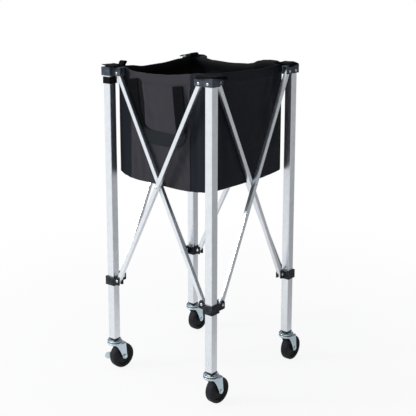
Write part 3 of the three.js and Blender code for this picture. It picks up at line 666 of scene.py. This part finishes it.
def make_casters():
    on_axle = mm_matrix(0, TRAIL, AXLE_HEIGHT) @ Matrix.Rotation(math.pi / 2, 4, "Y")
    half = [(4.4, 14.6), (9.3, 14.6), (9.6, 7.6), (11.5, 7.0), (25.6, 7.0), (27.2, 9.2), (27.6, 10.6), (28.2, 11.2),
            (28.8, 10.7), (29.4, 11.2), (33.6, 12.4), (36.2, 11.5), (37.6, 9.0), (38.0, 5.5), (38.1, 0)]
    profile = fillet(half + [(r, -a) for r, a in reversed(half[:-1])] + [half[0]], 1.2)
    wheel = lathe(list(reversed(profile)), 96)
    dome = fillet([(0, 78.7), (8, 78.7), (8, 80.2), (5, 80.2), (5, 91.2), (20.4, 90.6), (21.6, 90.9), (22.5, 92.0),
                   (22.3, 93.3), (21.0, 94.2), (19.6, 93.9), (18.6, 93.3), (16.0, 94.0), (13.2, 95.6), (8.5, 96.0),
                   (8.5, 100.2), (5, 100.2), (5, 125.5), (0, 125.5)], 0.6)
    stem = lathe(dome, 64)
    race = lathe([(5.4, 86.4), (18.0, 86.4), (18.9, 87.4), (19.2, 88.7), (18.9, 90.0), (18.0, 90.9), (5.4, 90.9)], 64)
    cup = lathe(fillet([(5.4, 80.8), (18.8, 80.3), (20.9, 81.6), (22.4, 83.8), (22.8, 85.9), (22.2, 87.5),
                        (21.3, 88.1), (20.2, 87.8), (19.6, 86.8), (19.4, 86.0), (5.4, 86.0), (5.4, 80.8)], 0.5), 64)
    sheet = fork_sheet()
    for corner in CORNERS:
        place = at_caster(corner)
        leg, fork, roll = f"leg_{corner}", f"caster_{corner}", f"wheel_{corner}"
        piece(f"fork_sheet_{corner}", *sheet, ZINC, fork, place, [f"caster_fork_{corner}"], "zinc_steel")
        piece(f"fork_cup_{corner}", *cup, ZINC, fork, place, slot="zinc_steel")
        piece(f"ball_race_{corner}", *race, YELLOW_ZINC, leg, place, slot="zinc_steel")
        piece(f"tyre_{corner}", *wheel, RUBBER, roll, place @ on_axle, [roll], "wheel_rubber")
        piece(f"stem_{corner}", *stem, ZINC, leg, place, [f"caster_stem_{corner}"], "zinc_steel")
        soften(f"axle_{corner}", ZINC, 0.4)
    screw = [(5.6, 17.4), (5.6, 18.2), (5.0, 19.3), (3.4, 19.9), (0, 20.1)]
    # The screw's cross recess is a thin black cross laid on its head: painted shade in the recess.
    cross = (0.55, 0.55), (0.55, 2.9), (-0.55, 2.9)
    arms = [(x * c - y * s, x * s + y * c) for c, s in ((1, 0), (0, 1), (-1, 0), (0, -1)) for x, y in cross]
    n = len(arms)
    recess = [(x, y, z) for z in (19.4, 20.2) for x, y in arms]
    sides = [(i, (i + 1) % n, n + (i + 1) % n, n + i) for i in range(n)]
    sides += [tuple(range(n - 1, -1, -1)), tuple(range(n, 2 * n))]
    braked = at_caster("front_left")
    for name, shape, material in (("axle_screw", lathe(screw, 32), ZINC),
                                  ("screw_recess_shade", (recess, sides), PLUG_PLASTIC_AND_PAINTED_SHADE)):
        piece(f"{name}_front_left", *shape, material, "caster_front_left", braked @ on_axle, slot="zinc_steel")
    piece("brake_pedal", *brake_pedal(), ZINC, "brake_lever", braked, ["brake_lever"], "zinc_steel")


# ------------------------------------------------------------------ bag

def smooth_steps(at, knots):
    """Eased interpolation through (place, value) knots."""
    places, values = zip(*knots)
    at = np.clip(at, places[0], places[-1])
    i = np.clip(np.searchsorted(places, at, side="right") - 1, 0, len(places) - 2)
    places, values = np.array(places, float), np.array(values, float)
    share = (at - places[i]) / (places[i + 1] - places[i])
    return values[i] + (values[i + 1] - values[i]) * share * share * (3 - 2 * share)


# Height of the rim and of the lower edge along each side, from its left end to its right end
RIMS = {
    "front": [(-BAG_FLAT, 929), (-140, 928), (-116, 919), (-92, 916.5), (-44, 915.5), (15, 917), (52, 920.5),
              (95, 926), (125, 930.5), (BAG_FLAT, 931)],
    "right": [(-BAG_FLAT, 931), (-105, 929), (-20, 926), (60, 924), (115, 926.5), (BAG_FLAT, 930)],
    "back": [(-BAG_FLAT, 932), (-150, 936), (-128, 936.5), (-104, 935), (-84, 931), (-60, 922), (-40, 919), (20, 917),
             (90, 920), (130, 926), (BAG_FLAT, 930)],
    "left": [(-BAG_FLAT, 930), (-110, 925), (-20, 919), (60, 918), (120, 925), (BAG_FLAT, 929)],
}
FEET = {
    "front": [(-BAG_FLAT, 617), (-148, 610.5), (-122, 604.8), (-92, 602.2), (-55, 601.8), (0, 599.2), (50, 597.8),
              (85, 598.2), (115, 600.5), (140, 603.6), (BAG_FLAT, 606.5)],
    "right": [(-BAG_FLAT, 606.5), (-135, 606.5), (-100, 605.5), (-30, 604.6), (70, 604), (110, 606), (140, 608),
              (BAG_FLAT, 610)],
    "back": [(-BAG_FLAT, 610), (-120, 603), (-40, 599), (50, 598), (120, 602), (BAG_FLAT, 609)],
    "left": [(-BAG_FLAT, 609), (-120, 603), (-30, 600), (60, 600), (125, 605), (150, 611), (BAG_FLAT, 617)],
}
# Folds of the cloth on each side, as (from along, from height, to along, to height, width, outward)
FOLDS = {
    "front": [(-84, 892, -71, 782, 7, -12.0), (86, 884, 96, 760, 6, -7.0), (-130, 900, -124, 640, 14, -4.0),
              (-150, 905, -96, 800, 9, -3.2), (-146, 915, -60, 880, 8, -2.6), (96, 630, 30, 700, 7, -2.2),
              (104, 640, 60, 720, 7, -1.8), (-104, 720, -92, 615, 9, -2.6), (-70, 700, -66, 612, 9, -1.6),
              (-30, 690, -26, 612, 14, -1.6), (118, 905, 124, 620, 9, -2.6), (40, 700, 44, 615, 12, -1.6),
              (-40, 800, 30, 770, 12, -1.6), (-52, 830, -20, 764, 9, -1.4)],
    "right": [(-126, 905, -112, 640, 12, -2.0), (124, 905, 116, 700, 12, -2.5), (-60, 900, -40, 760, 20, -0.8),
              (60, 880, 50, 640, 24, -0.9), (140, 915, 90, 820, 9, -1.6)],
    "back": [(-72, 884, -62, 765, 7, -3.5), (84, 880, 88, 720, 8, -3.0), (-128, 900, -112, 640, 14, -2.5),
             (-150, 905, -96, 800, 9, -2.0), (96, 630, 30, 700, 8, -1.2), (-20, 690, -24, 612, 18, -1.2)],
    "left": [(-124, 905, -114, 660, 12, -2.4), (126, 905, 112, 640, 12, -2.2), (-20, 880, 10, 700, 26, -1.2),
             (70, 820, 66, 640, 20, -1.0), (-146, 915, -90, 830, 9, -1.8)],
}
HEM, HEM_WALL, CLOTH = 28.0, 3.0, 1.8
SIDE_STEPS, CORNER_STEPS = 54, 12
SIDE_MAP = 400  # from one side to the next in the cloth's map
LEVEL_ABOVE = 110  # the cloth's rows follow the lower edge up to here above the floor
# Where the middle of the front and of the back meets the darker cloth round the corners. By the left legs the darker
# cloth reaches in to 123 mm from the middle, over where the left leg's shadow falls: there it is partly real cloth
# and partly painted shadow.
SEAMS = {"front": (-123.0, 102.0), "back": (-102.0, 123.0)}
MOST_OUT = 2.8  # the cloth never stands out further than this, so that the braces clear it


def cloth_offset(side, along, height):
    """How far the cloth stands out from the bag's plain form."""
    out = np.zeros_like(along)
    for a0, h0, a1, h1, width, rise in FOLDS[side]:
        dx, dz = a1 - a0, h1 - h0
        length2 = dx * dx + dz * dz
        share = np.clip(((along - a0) * dx + (height - h0) * dz) / length2, 0, 1)
        gap = np.hypot(along - a0 - share * dx, height - h0 - share * dz)
        taper = np.sin(math.pi * np.clip(0.12 + 0.76 * share, 0, 1))
        ridge = np.exp(-(gap / width) ** 2) - 0.35 * np.exp(-((gap - 2 * width) / width) ** 2)
        out += rise * taper * ridge
    middle = np.cos(np.clip(along / BAG_FLAT, -1, 1) * math.pi / 2) ** 2
    depth = 318  # from the rim to the floor
    swell = 2.4 * middle * np.sin(math.pi * np.clip((height - BAG_FLOOR) / depth, 0, 1)) ** 0.6
    fine = 0.28 * np.sin(along * 0.31 + height * 0.083 + 1.3) * np.sin(height * 0.061 - along * 0.05)
    fade = np.clip((BAG_FLAT - np.abs(along)) / 24, 0, 1)  # no ripples near the corners
    return np.minimum(out + swell + fine * fade, MOST_OUT)


def build_bag():
    """The whole shell, row by row: out along the floor, up the outside, over the hem and down the inside."""
    columns = []
    for k, side in enumerate(SIDES):
        for i in range(SIDE_STEPS):
            columns.append((k, "side", -BAG_FLAT + 2 * BAG_FLAT * i / SIDE_STEPS, 0.0))
        for i in range(CORNER_STEPS):
            columns.append((k, "corner", BAG_FLAT, math.pi / 2 * i / CORNER_STEPS))
    turn_up, wall_top = 4, 884  # the radius at the wall's foot, and the height up to which its rows are even
    heights = [BAG_FLOOR + turn_up, *np.linspace(BAG_FLOOR + 2 * turn_up, wall_top, 52)]
    hem_rows = [0.0, 0.6, 1.2, 1.8, 6, 11, 16, 21, 25, HEM - 0.8, HEM]

    def outline(column, inset):
        k, kind, along, angle = column
        turn = k * math.pi / 2
        if kind == "side":
            x, y, nx, ny = along, -(BAG_HALF - inset), 0.0, -1.0
        else:
            nx, ny = math.sin(angle), -math.cos(angle)
            r = BAG_CORNER - inset
            x, y = BAG_FLAT + r * nx, -BAG_FLAT + r * ny
        c, s = math.cos(turn), math.sin(turn)
        return (x * c - y * s, x * s + y * c), (nx * c - ny * s, nx * s + ny * c)

    def around(column):
        """Arc length from the side's middle, past the corner where need be."""
        return column[2] + BAG_CORNER * column[3]

    def edge_height(column, heights_along, lift=0.0):
        k, kind, along, angle = column
        if kind == "side":
            return float(smooth_steps(np.array(along), heights_along[SIDES[k]]))
        before, after = heights_along[SIDES[k]][-1][1], heights_along[SIDES[(k + 1) % 4]][0][1]
        share = angle / (math.pi / 2)
        return before + (after - before) * share + lift * math.sin(math.pi * share)

    rims = {column: edge_height(column, RIMS, 0.8) for column in columns}
    feet = {column: edge_height(column, FEET, 1.5) - BAG_FLOOR for column in columns}

    def at_height(column, height):
        """The cloth's rows follow the lower edge and level out above it."""
        return height + feet[column] * max(0.0, 1 - (height - BAG_FLOOR) / LEVEL_ABOVE) ** 2

    def offset_of(column, height):
        """A side's folds run on round the corner after it, and a corner also takes those of the next side."""
        k, kind, along, angle = column
        quarter = BAG_CORNER * math.pi / 2
        if kind == "side":
            other, place = SIDES[k - 1], 2 * BAG_FLAT + quarter + along
        else:
            other, place = SIDES[(k + 1) % 4], -BAG_FLAT - BAG_CORNER * (math.pi / 2 - angle)
        spots = (SIDES[k], around(column)), (other, place)
        return float(sum(cloth_offset(side, np.array(float(at)), np.array(float(height))) for side, at in spots))

    points, uv = [], []
    rows = []

    def add_row(make):
        rows.append(len(points))
        for column in columns:
            x, y, z = make(column)
            points.append((x, y, z))
            k = column[0]
            uv.append((k * SIDE_MAP + around(column), z))

    def shell_point(column, height, inset, share=1.0):
        (x, y), (nx, ny) = outline(column, inset)
        out = offset_of(column, height) * share
        return x + nx * out, y + ny * out, at_height(column, height)

    floor_insets = (9.8, 6.5, 4, 2.4, 1.1, 0.3)
    for inset in floor_insets:
        rise = BAG_FLOOR + turn_up - math.sqrt(max(0, turn_up ** 2 - max(0, turn_up - inset) ** 2))
        add_row(lambda c, i=inset, z=rise: shell_point(c, z, i, max(0.0, 1 - i / 5)))
    for height in heights:
        lip = 0.9 * math.exp(-((height - BAG_FLOOR - 9) / 2.2) ** 2)
        add_row(lambda c, z=height, lip=lip: shell_point(c, z, -lip * 0.4))
    for step in hem_rows:
        proud = 0.7 * min(step / 1.2, 1) * (1 if step < HEM - 0.5 else 0.3)
        add_row(lambda c, s=step, proud=proud: shell_point(c, rims[c] - HEM + s, -proud, 1 - 0.55 * s / HEM))
    top = len(rows) - 1
    for step in (HEM, HEM - 0.8, HEM - 12, 1.2, 0.0):
        wall = HEM_WALL if step > 0.5 else CLOTH
        add_row(lambda c, s=step, w=wall: shell_point(c, rims[c] - HEM + s, w - (0.6 if s == HEM else 0),
                                                      1 - 0.55 * s / HEM))
    for height in reversed(heights[::3]):
        add_row(lambda c, z=height: shell_point(c, z, CLOTH))
    for inset in (3.0, 6.0, 9.8):
        add_row(lambda c, i=inset: shell_point(c, BAG_FLOOR + CLOTH + (2 if i < 4 else 0), i, 0))

    points, uv = np.array(points), np.array(uv)
    faces = ring_faces(len(rows), len(columns))
    owner = [(kind, k) for row in rows[1:] for k, kind, along, angle in columns]
    made = cut_bag(points, uv, faces, owner, top * len(columns))
    sew_bag(points, rows, len(floor_insets) - 1, len(floor_insets) + len(heights))
    return made


def shell_normals(points, faces):
    """The whole shell's smooth normals, so that its pieces meet without a crease."""
    whole = bpy.data.meshes.new("bag_whole")
    whole.from_pydata((points * MM).tolist(), [], faces)
    whole.polygons.foreach_set("use_smooth", [True] * len(faces))
    whole.set_sharp_from_angle(angle=math.radians(50))
    whole.update()
    corner_normals = np.zeros(len(whole.loops) * 3, np.float32)
    whole.corner_normals.foreach_get("vector", corner_normals)
    bpy.data.meshes.remove(whole)
    return corner_normals.reshape(-1, 4, 3)


def cut_bag(points, uv, faces, owner, first_inside):
    """Cuts the shell into the four sides and the four corners, which follow the cart as it folds."""
    corner_normals = shell_normals(points, faces)
    made = {}
    for kind, k in sorted(set(owner)):
        chosen = [i for i, o in enumerate(owner) if o == (kind, k)]
        used = sorted({v for i in chosen for v in faces[i]})
        index = {v: n for n, v in enumerate(used)}
        name = f"bag_{SIDES[k]}_panel" if kind == "side" else f"bag_corner_{CORNERS[k]}"
        mesh = bpy.data.meshes.new(name)
        mesh.from_pydata((points[used] * MM).tolist(), [], [tuple(index[v] for v in faces[i]) for i in chosen])
        add_map(mesh, uv[used])
        for material in (PANEL_NYLON, CORNER_NYLON, BAG_INSIDE):
            mesh.materials.append(material)
        pick = []
        for i in chosen:
            along = float(np.mean([uv[v][0] for v in faces[i]])) - k * SIDE_MAP
            low, high = SEAMS.get(SIDES[k], (0, 0))
            outside = 0 if kind == "side" and low < along < high else 1
            pick.append(2 if i >= first_inside else outside)
        mesh.polygons.foreach_set("material_index", pick)
        mesh.polygons.foreach_set("use_smooth", [True] * len(chosen))
        mesh.normals_split_custom_set(corner_normals[chosen].reshape(-1, 3).tolist())
        obj = add(name, mesh)
        obj.matrix_world = CART
        made[kind, k] = obj
    return made


def sew_bag(points, rows, wall_foot, hem_foot):
    """The hem's two lines of stitches, and a stitched welt on each seam."""
    for k, side in enumerate(SIDES):
        out = np.array((math.sin(k * math.pi / 2), -math.cos(k * math.pi / 2), 0.0))
        leg, first = SIDE_RIDES[side][0], k * (SIDE_STEPS + CORNER_STEPS)
        lines = [[points[rows[row] + first + i] + out * 0.25 for i in range(1, SIDE_STEPS)]
                 for row in (hem_foot + 4, hem_foot + 8)]
        trim = [sew_line(f"hem_stitches_{side}", lines, 3.0, leg, CART, out)]
        for number, seam in enumerate(SEAMS.get(side, ())):
            i = first + round((seam + BAG_FLAT) / (2 * BAG_FLAT) * SIDE_STEPS)
            path = np.array([points[rows[row] + i] + out * 0.35 for row in range(wall_foot, hem_foot)])
            sideways = np.tile(np.cross((0.0, 0.0, 1.0), out), (len(path), 1))
            welt = ribbon(path, sideways, 2.6, 1.5)[:2]
            trim.append(piece(f"seam_welt_{side}_{number + 1}", *welt, CORNER_NYLON, leg))
            beside = path + sideways * (3.4 if seam < 0 else -3.4)
            trim.append(sew_line(f"seam_stitches_{side}_{number + 1}", [beside], 3.0, leg, CART, out))
        for part in trim:
            close_up(part)


def close_up(obj):
    """Gives the piece a mesh of its own."""
    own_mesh(obj)


def make_bag():
    made = build_bag()
    for (kind, k), obj in made.items():
        if kind == "side":
            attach(obj, SIDE_RIDES[SIDES[k]][0])
            close_up(obj)
        else:
            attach(obj, f"leg_{CORNERS[k]}")
    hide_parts("bag")
    make_bag_floor()


def make_bag_floor():
    """The floor's middle: a band from corner to corner, two half bands across it and four gussets.

    Each part rides on a leg, and is cut so that it stays between the closed sides.
    """
    cells, sag = 34, 4.0
    line = np.linspace(-BAG_FLAT, BAG_FLAT, cells + 1)
    centres = (line[:-1] + line[1:]) / 2
    points = [(x, y) for y in line for x in line] + [(x, y) for y in centres for x in centres]
    first_centre = (cells + 1) ** 2
    triangles = []
    for j in range(cells):
        for i in range(cells):
            a, b = j * (cells + 1) + i, j * (cells + 1) + i + 1
            d, c = a + cells + 1, b + cells + 1
            m = first_centre + j * cells + i
            triangles += [(a, b, m), (b, c, m), (c, d, m), (d, a, m)]

    def stays_inside(corners, way):
        """Whether a triangle, squashed along one diagonal, still fits between the closed bag's sides."""
        room = 2 * (FOLDED_HALF - 2.0)  # less the walls
        return all(abs(x - way * y) + PANEL_KEEP * abs(x + way * y) <= room for x, y in corners)

    def part_of(corners):
        x, y = np.mean(corners, axis=0)
        if stays_inside(corners, 1):
            return "long_band"
        if stays_inside(corners, -1):
            return "front_right_band" if x > y else "back_left_band"
        if y < -abs(x):
            return "front_gusset"
        if y > abs(x):
            return "back_gusset"
        return "right_gusset" if x > 0 else "left_gusset"

    def floor_height(x, y):
        """Blends the four lower edges across the floor and sags a little in the middle."""
        u, v = (x / BAG_FLAT + 1) / 2, (y / BAG_FLAT + 1) / 2
        front, back = (float(smooth_steps(np.array(a), FEET[s])) for a, s in ((x, "front"), (-x, "back")))
        right, left = (float(smooth_steps(np.array(a), FEET[s])) for a, s in ((y, "right"), (-y, "left")))
        corners = [FEET[s][0][1] for s in ("front", "right", "back", "left")]
        ruled = (1 - v) * front + v * back + (1 - u) * left + u * right
        flat = (1 - v) * ((1 - u) * corners[0] + u * corners[1]) + v * (u * corners[2] + (1 - u) * corners[3])
        return ruled - flat - sag * math.cos(math.pi * (u - 0.5)) * math.cos(math.pi * (v - 0.5))

    parts = {}
    for t in triangles:
        parts.setdefault(part_of([points[v] for v in t]), []).append(t)
    flat = BAG_FLAT * MM
    diagonal = 1 / math.sqrt(2)
    rides = {
        "long_band": ("leg_front_left", (diagonal, diagonal, 0), (-flat, -flat)),
        "front_right_band": ("leg_front_right", (diagonal, -diagonal, 0), (flat, -flat)),
        "back_left_band": ("leg_back_left", (diagonal, -diagonal, 0), (-flat, flat)),
        "front_gusset": ("leg_front_left", (1, 0, 0), (-flat, -flat)),
        "back_gusset": ("leg_back_left", (1, 0, 0), (-flat, -flat)),
        "left_gusset": ("leg_front_left", (0, 1, 0), (-flat, -flat)),
        "right_gusset": ("leg_front_right", (0, 1, 0), (-flat, -flat)),
    }
    for name, chosen in parts.items():
        used = sorted({v for t in chosen for v in t})
        index = {v: n for n, v in enumerate(used)}
        n = len(used)
        shell = [(*points[v], floor_height(*points[v]) + rise) for rise in (0.0, CLOTH) for v in used]
        faces = []
        edges = {}
        for t in chosen:
            a, b, c = (index[v] for v in t)
            faces += [(c, b, a), (a + n, b + n, c + n)]
            for p, q in ((a, b), (b, c), (c, a)):
                edges[(p, q)] = edges.get((p, q), 0) + 1
        for (p, q) in edges:
            if (q, p) not in edges:
                faces.append((p, q, q + n, p + n))
        body, axis, anchor = rides[name]
        made = piece(f"bag_floor_{name}", shell, faces, BAG_INSIDE, body, CART, slot="bag_fabric",
                     uv=[point[:2] for point in shell], sharp=60)
        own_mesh(made)


# ------------------------------------------------------------------ webbing

def ribbon(path, across, width, thick, along=None, edge=0.5, crown=0.0):
    """A flat strap along a path: path and across are (n, 3) arrays, across the unit vectors over its width."""
    path, across = np.asarray(path, float), np.asarray(across, float)
    if along is None:
        along = np.gradient(path, axis=0)
        along /= np.linalg.norm(along, axis=1)[:, None]
    up = np.cross(along, across)
    up /= np.linalg.norm(up, axis=1)[:, None]
    t = thick / 2
    edge = min(edge, t)
    shares = [*np.linspace(-1, 1, 9)]
    near, low = -edge * 0.3, t * 0.7
    section = [(s, -edge, t) for s in shares] + [(1, near, low), (1, 0, 0), (1, near, -low)]
    section += [(s, -edge, -t) for s in reversed(shares)] + [(-1, near, -low), (-1, 0, 0), (-1, near, low)]
    count = len(section)
    length = np.concatenate([[0], np.cumsum(np.linalg.norm(np.diff(path, axis=0), axis=1))])
    points, uv = [], []
    for p, a, u, far, half in zip(path, across, up, length, np.broadcast_to(np.asarray(width, float) / 2, len(path))):
        for s, inset, h in section:
            reach = s * max(half + inset, 0.05)
            points.append(p + a * reach + u * (h + crown * (1 - s * s)))
            uv.append((reach, far))
    last = (len(path) - 1) * count
    faces = ring_faces(len(path), count) + [tuple(range(count - 1, -1, -1)), tuple(range(last, last + count))]
    return points, faces, uv


def bent_path(corners, radius, step=3.0):
    """Points along a path of straight runs with round bends."""
    corners = [np.array(c, float) for c in corners]
    out = [corners[0]]
    for a, c, b in zip(corners, corners[1:], corners[2:]):
        u, v = (a - c) / np.linalg.norm(a - c), (b - c) / np.linalg.norm(b - c)
        r = min(radius, 0.48 * np.linalg.norm(a - c), 0.48 * np.linalg.norm(b - c))
        for i in range(13):
            t = i / 12
            out.append((1 - t) ** 2 * (c + u * r) + 2 * t * (1 - t) * c + t * t * (c + v * r))
    out.append(corners[-1])
    dense = [out[0]]
    for a, b in zip(out, out[1:]):
        steps = max(1, int(np.linalg.norm(b - a) / step))
        dense += [a + (b - a) * i / steps for i in range(1, steps + 1)]
    return np.array(dense)


HANDLE_WIDTH = 38.0


def band_depth(side, along, height):
    """How far out a handle lies on the cloth: it bridges the hollows under its own width."""
    spots = np.linspace(-HANDLE_WIDTH / 2, HANDLE_WIDTH / 2, 7)
    return max(float(cloth_offset(side, np.array(along + d), np.array(height))) for d in spots)


def make_handles():
    """A strap on the front and its twin on the back: down, across below the middle and up again."""
    outline = [(-109, 897), (-96, 795), (-74, 752), (-44, 738), (75, 734), (57, 889)]
    near, far, half = 3, 36, 15  # the crossed box of stitches on each end
    box = ((near, -half), (near, half), (far, half), (far, -half), (near, -half), (far, half), (far, -half),
           (near, half))
    most_out, stitches_out = BAG_HALF + 4.1, BAG_HALF + 5.0  # clear of the braces
    for side in ("front", "back"):
        path2 = bent_path(outline, 42)
        along = np.gradient(path2, axis=0)
        along /= np.linalg.norm(along, axis=1)[:, None]
        across = np.stack([along[:, 1], np.zeros(len(along)), -along[:, 0]], axis=1)
        out = np.array([band_depth(side, x, z) for x, z in path2])
        for _ in range(12):
            out[1:-1] = np.maximum(out[1:-1], (out[:-2] + 2 * out[1:-1] + out[2:]) / 4)
        depth = np.minimum(BAG_HALF + out + 1.3, most_out)
        path = np.stack([path2[:, 0], -depth, path2[:, 1]], axis=1)
        points, faces, uv = ribbon(path, across, HANDLE_WIDTH, 1.6)
        made = piece(f"bag_handle_{side}", points, faces, HANDLE_WEBBING, SIDE_RIDES[side][0], on_side(side),
                     [f"handle_{side}"], "webbing", uv=uv)
        boxes = []
        for start in (0, -1):
            inward = along[start] if start == 0 else -along[start]
            beside = np.array((inward[1], -inward[0]))
            corners = [path2[start] + inward * s + beside * t for s, t in box]
            face = [-min(BAG_HALF + band_depth(side, x, z) + 2.2, stitches_out) for x, z in corners]
            boxes.append([(x, y, z) for (x, z), y in zip(corners, face)])
        close_up(made)
        sewn = sew_line(f"handle_stitches_{side}", boxes, 2.6, SIDE_RIDES[side][0], on_side(side), (0, -1, 0))
        close_up(sewn)


def slanted(points):
    """From the patch's own frame, in which X points to the bag's middle, to the canonical leg's."""
    share = math.sqrt(0.5)
    return [(-(x + y) * share, (x - y) * share, z) for x, y, z in points]


def make_corner_tabs():
    """A wide patch of cloth from the rim's corner over each bracket, and a pull loop where the two meet."""
    # the free corner's reach, how fast the patch widens, its curl, the lift over the bracket, how far the outer
    # edges drop from a place on towards the bag on each side, and the loop's height
    shapes = {"front_left": (-21.5, 1.12, 1.0, 5.2, -15, 8, 4.5, 4.5, 13.5),
              "front_right": (-24, 1.24, 0.0, 2.4, -30, 30, 9.0, 6.0, 2.2),
              "back_right": (-22, 1.12, -9.0, 5.6, -26, 24, 9.5, 9.5, 5.0),
              "back_left": (-24, 1.12, 1.6, 2.2, -22, 20, 4.0, 4.0, 9.5)}
    steps, rows = 36, 16
    inner, widest, slim = 29.0, 12.0, 1.6  # the patch's end in the bag, where it is widest, and its tip's half width
    loop_width, loop_side, loop_foot = 17, 25.0, 929.5
    for corner in CORNERS:
        tip, spread, curl, lift, start, run, *drops, loop = shapes[corner]
        place = at_corner(corner)
        top, bottom, uv = [], [], []
        for i in range(steps + 1):
            u = tip + (inner - tip) * i / steps
            half = slim + spread * (min(u, widest) - tip) - 1.6 * max(0.0, u - widest)
            for j in range(rows + 1):
                edge = abs(2 * j / rows - 1)
                v = half * (2 * j / rows - 1)
                z = BRACKET_TOP + 0.6 + lift
                z += curl * max(0.0, (-u - 9) / 19) ** 1.6  # the free corner curls up
                z += (3.6 - lift) / (1 + math.exp(-(u - 20) / 2.2))  # and the other end meets the rim
                z += 0.5 * math.sin(0.22 * u + 0.5) * math.cos(0.16 * v)
                share = min(1.0, max(0.0, (u - start) / run)) * (1.0 if u < 14 else max(0.0, (22 - u) / 8))
                drop = drops[1 if v > 0 else 0] * share
                if edge == 1:  # the edge turns down over a narrow bend
                    v += math.copysign(0.9, v)
                    z -= drop
                elif edge > 0.87:
                    v += math.copysign(0.6, v)
                    z -= 0.18 * drop
                top.append((u, v, z + 0.8))
                bottom.append((u, v, z - 0.6))
                uv.append((u, v))
        count = len(top)
        faces = []
        wide = rows + 1
        for i in range(steps):
            for j in range(rows):
                a = i * wide + j
                faces.append((a, a + wide, a + wide + 1, a + 1))
                faces.append((count + a, count + a + 1, count + a + wide + 1, count + a + wide))
        rim = [*range(wide), *(i * wide + rows for i in range(1, steps + 1)),
               *(steps * wide + j for j in range(rows - 1, -1, -1)), *(i * wide for i in range(steps - 1, 0, -1))]
        for a, b in zip(rim, rim[1:] + rim[:1]):
            faces.append((a, b, count + b, count + a))
        lines = [slanted(line) for line in patch_stitch_path(top, wide, steps, rows)]
        piece(f"corner_patch_{corner}", slanted(top + bottom), faces, PATCH_NYLON, f"leg_{corner}", place,
              [f"corner_tab_{corner}"], "bag_fabric", uv=uv + uv, sharp=60)
        sew_line(f"patch_stitches_{corner}", lines, 2.4, f"leg_{corner}", place)
        bow = (-19, 0), (-22, 0.62), (-28, 1), (-36, 0.9), (-38.5, 0.72), (-36, 0.5), (-31, 0.1)
        arch = [(-16, 928.8), *((x, loop_foot + share * loop) for x, share in bow), (-29, 928)]
        path = bent_path([(x, loop_side, z) for x, z in arch], 3.0, 1.5)
        for _ in range(4):
            path[1:-1] = (path[:-2] + 2 * path[1:-1] + path[2:]) / 4
        points, faces, uv = ribbon(path, np.tile([0.0, 1.0, 0.0], (len(path), 1)), loop_width, 1.4)
        piece(f"pull_loop_{corner}", points, faces, WEBBING, f"leg_{corner}", place, slot="webbing", uv=uv)


def patch_stitch_path(top, wide, steps, rows):
    """A line inside the patch's edge, down both of its sides."""
    first = [top[i * wide + 2] for i in range(2, steps - 1)]
    second = [top[i * wide + rows - 2] for i in range(steps - 2, 1, -1)]
    return [(x, y, z + 0.05) for x, y, z in first], [(x, y, z + 0.05) for x, y, z in second]


def sew_line(name, lines, pitch, body, place, out=(0, 0, 1)):
    """Stitches: short thread pills laid end to end along lines, with small gaps."""
    points, faces = [], []
    out = np.array(out, float)
    for line in lines:
        line = np.array(line, float)
        run = np.concatenate([[0], np.cumsum(np.linalg.norm(np.diff(line, axis=0), axis=1))])
        for n in range(int(run[-1] / pitch)):
            a, b = (np.array([np.interp(d, run, line[:, axis]) for axis in range(3)])
                    for d in (n * pitch, (n + 0.72) * pitch))
            along = (b - a) / (np.linalg.norm(b - a) + 1e-9)
            beside = np.cross(along, out)
            middle, rise = (a + b) / 2, 0.22
            start = len(points)
            points += [a, middle + beside * 0.3, b, middle - beside * 0.3, middle + out * rise, middle - out * rise]
            faces += [tuple(start + v for v in f) for f in
                      ((0, 1, 4), (1, 2, 4), (2, 3, 4), (3, 0, 4), (1, 0, 5), (2, 1, 5), (3, 2, 5), (0, 3, 5))]
    return piece(name, points, faces, THREAD, body, place, sharp=180)


TIE_HEIGHT = 888.3


def make_tie():
    """A strap round the leg, its end lapped over its start."""
    ring = rounded_square(LEG_WIDTH / 2 + 1.3, 2.6, 6)
    start = ring.index(min(ring, key=lambda p: abs(p[0]) + abs(p[1] - 13.8)))
    loop = [*ring[start:], *ring[:start]]
    path = np.array([(x, y, TIE_HEIGHT) for x, y in [*loop, loop[0]]], float)
    path = np.concatenate([path, path[1:4] * [1.09, 1.09, 1]])
    across = np.tile([0.0, 0.0, 1.0], (len(path), 1))
    points, faces, uv = ribbon(path, across, 19.5, 1.6)
    piece("tie_band", points, faces, TIE_FABRIC, "leg_front_left", at_corner("front_left"), ["tie_strap"], "webbing",
          uv=uv)


set_stage()
make_legs()
make_braces()
make_casters()
make_bag()
make_handles()
make_corner_tabs()
make_tie()
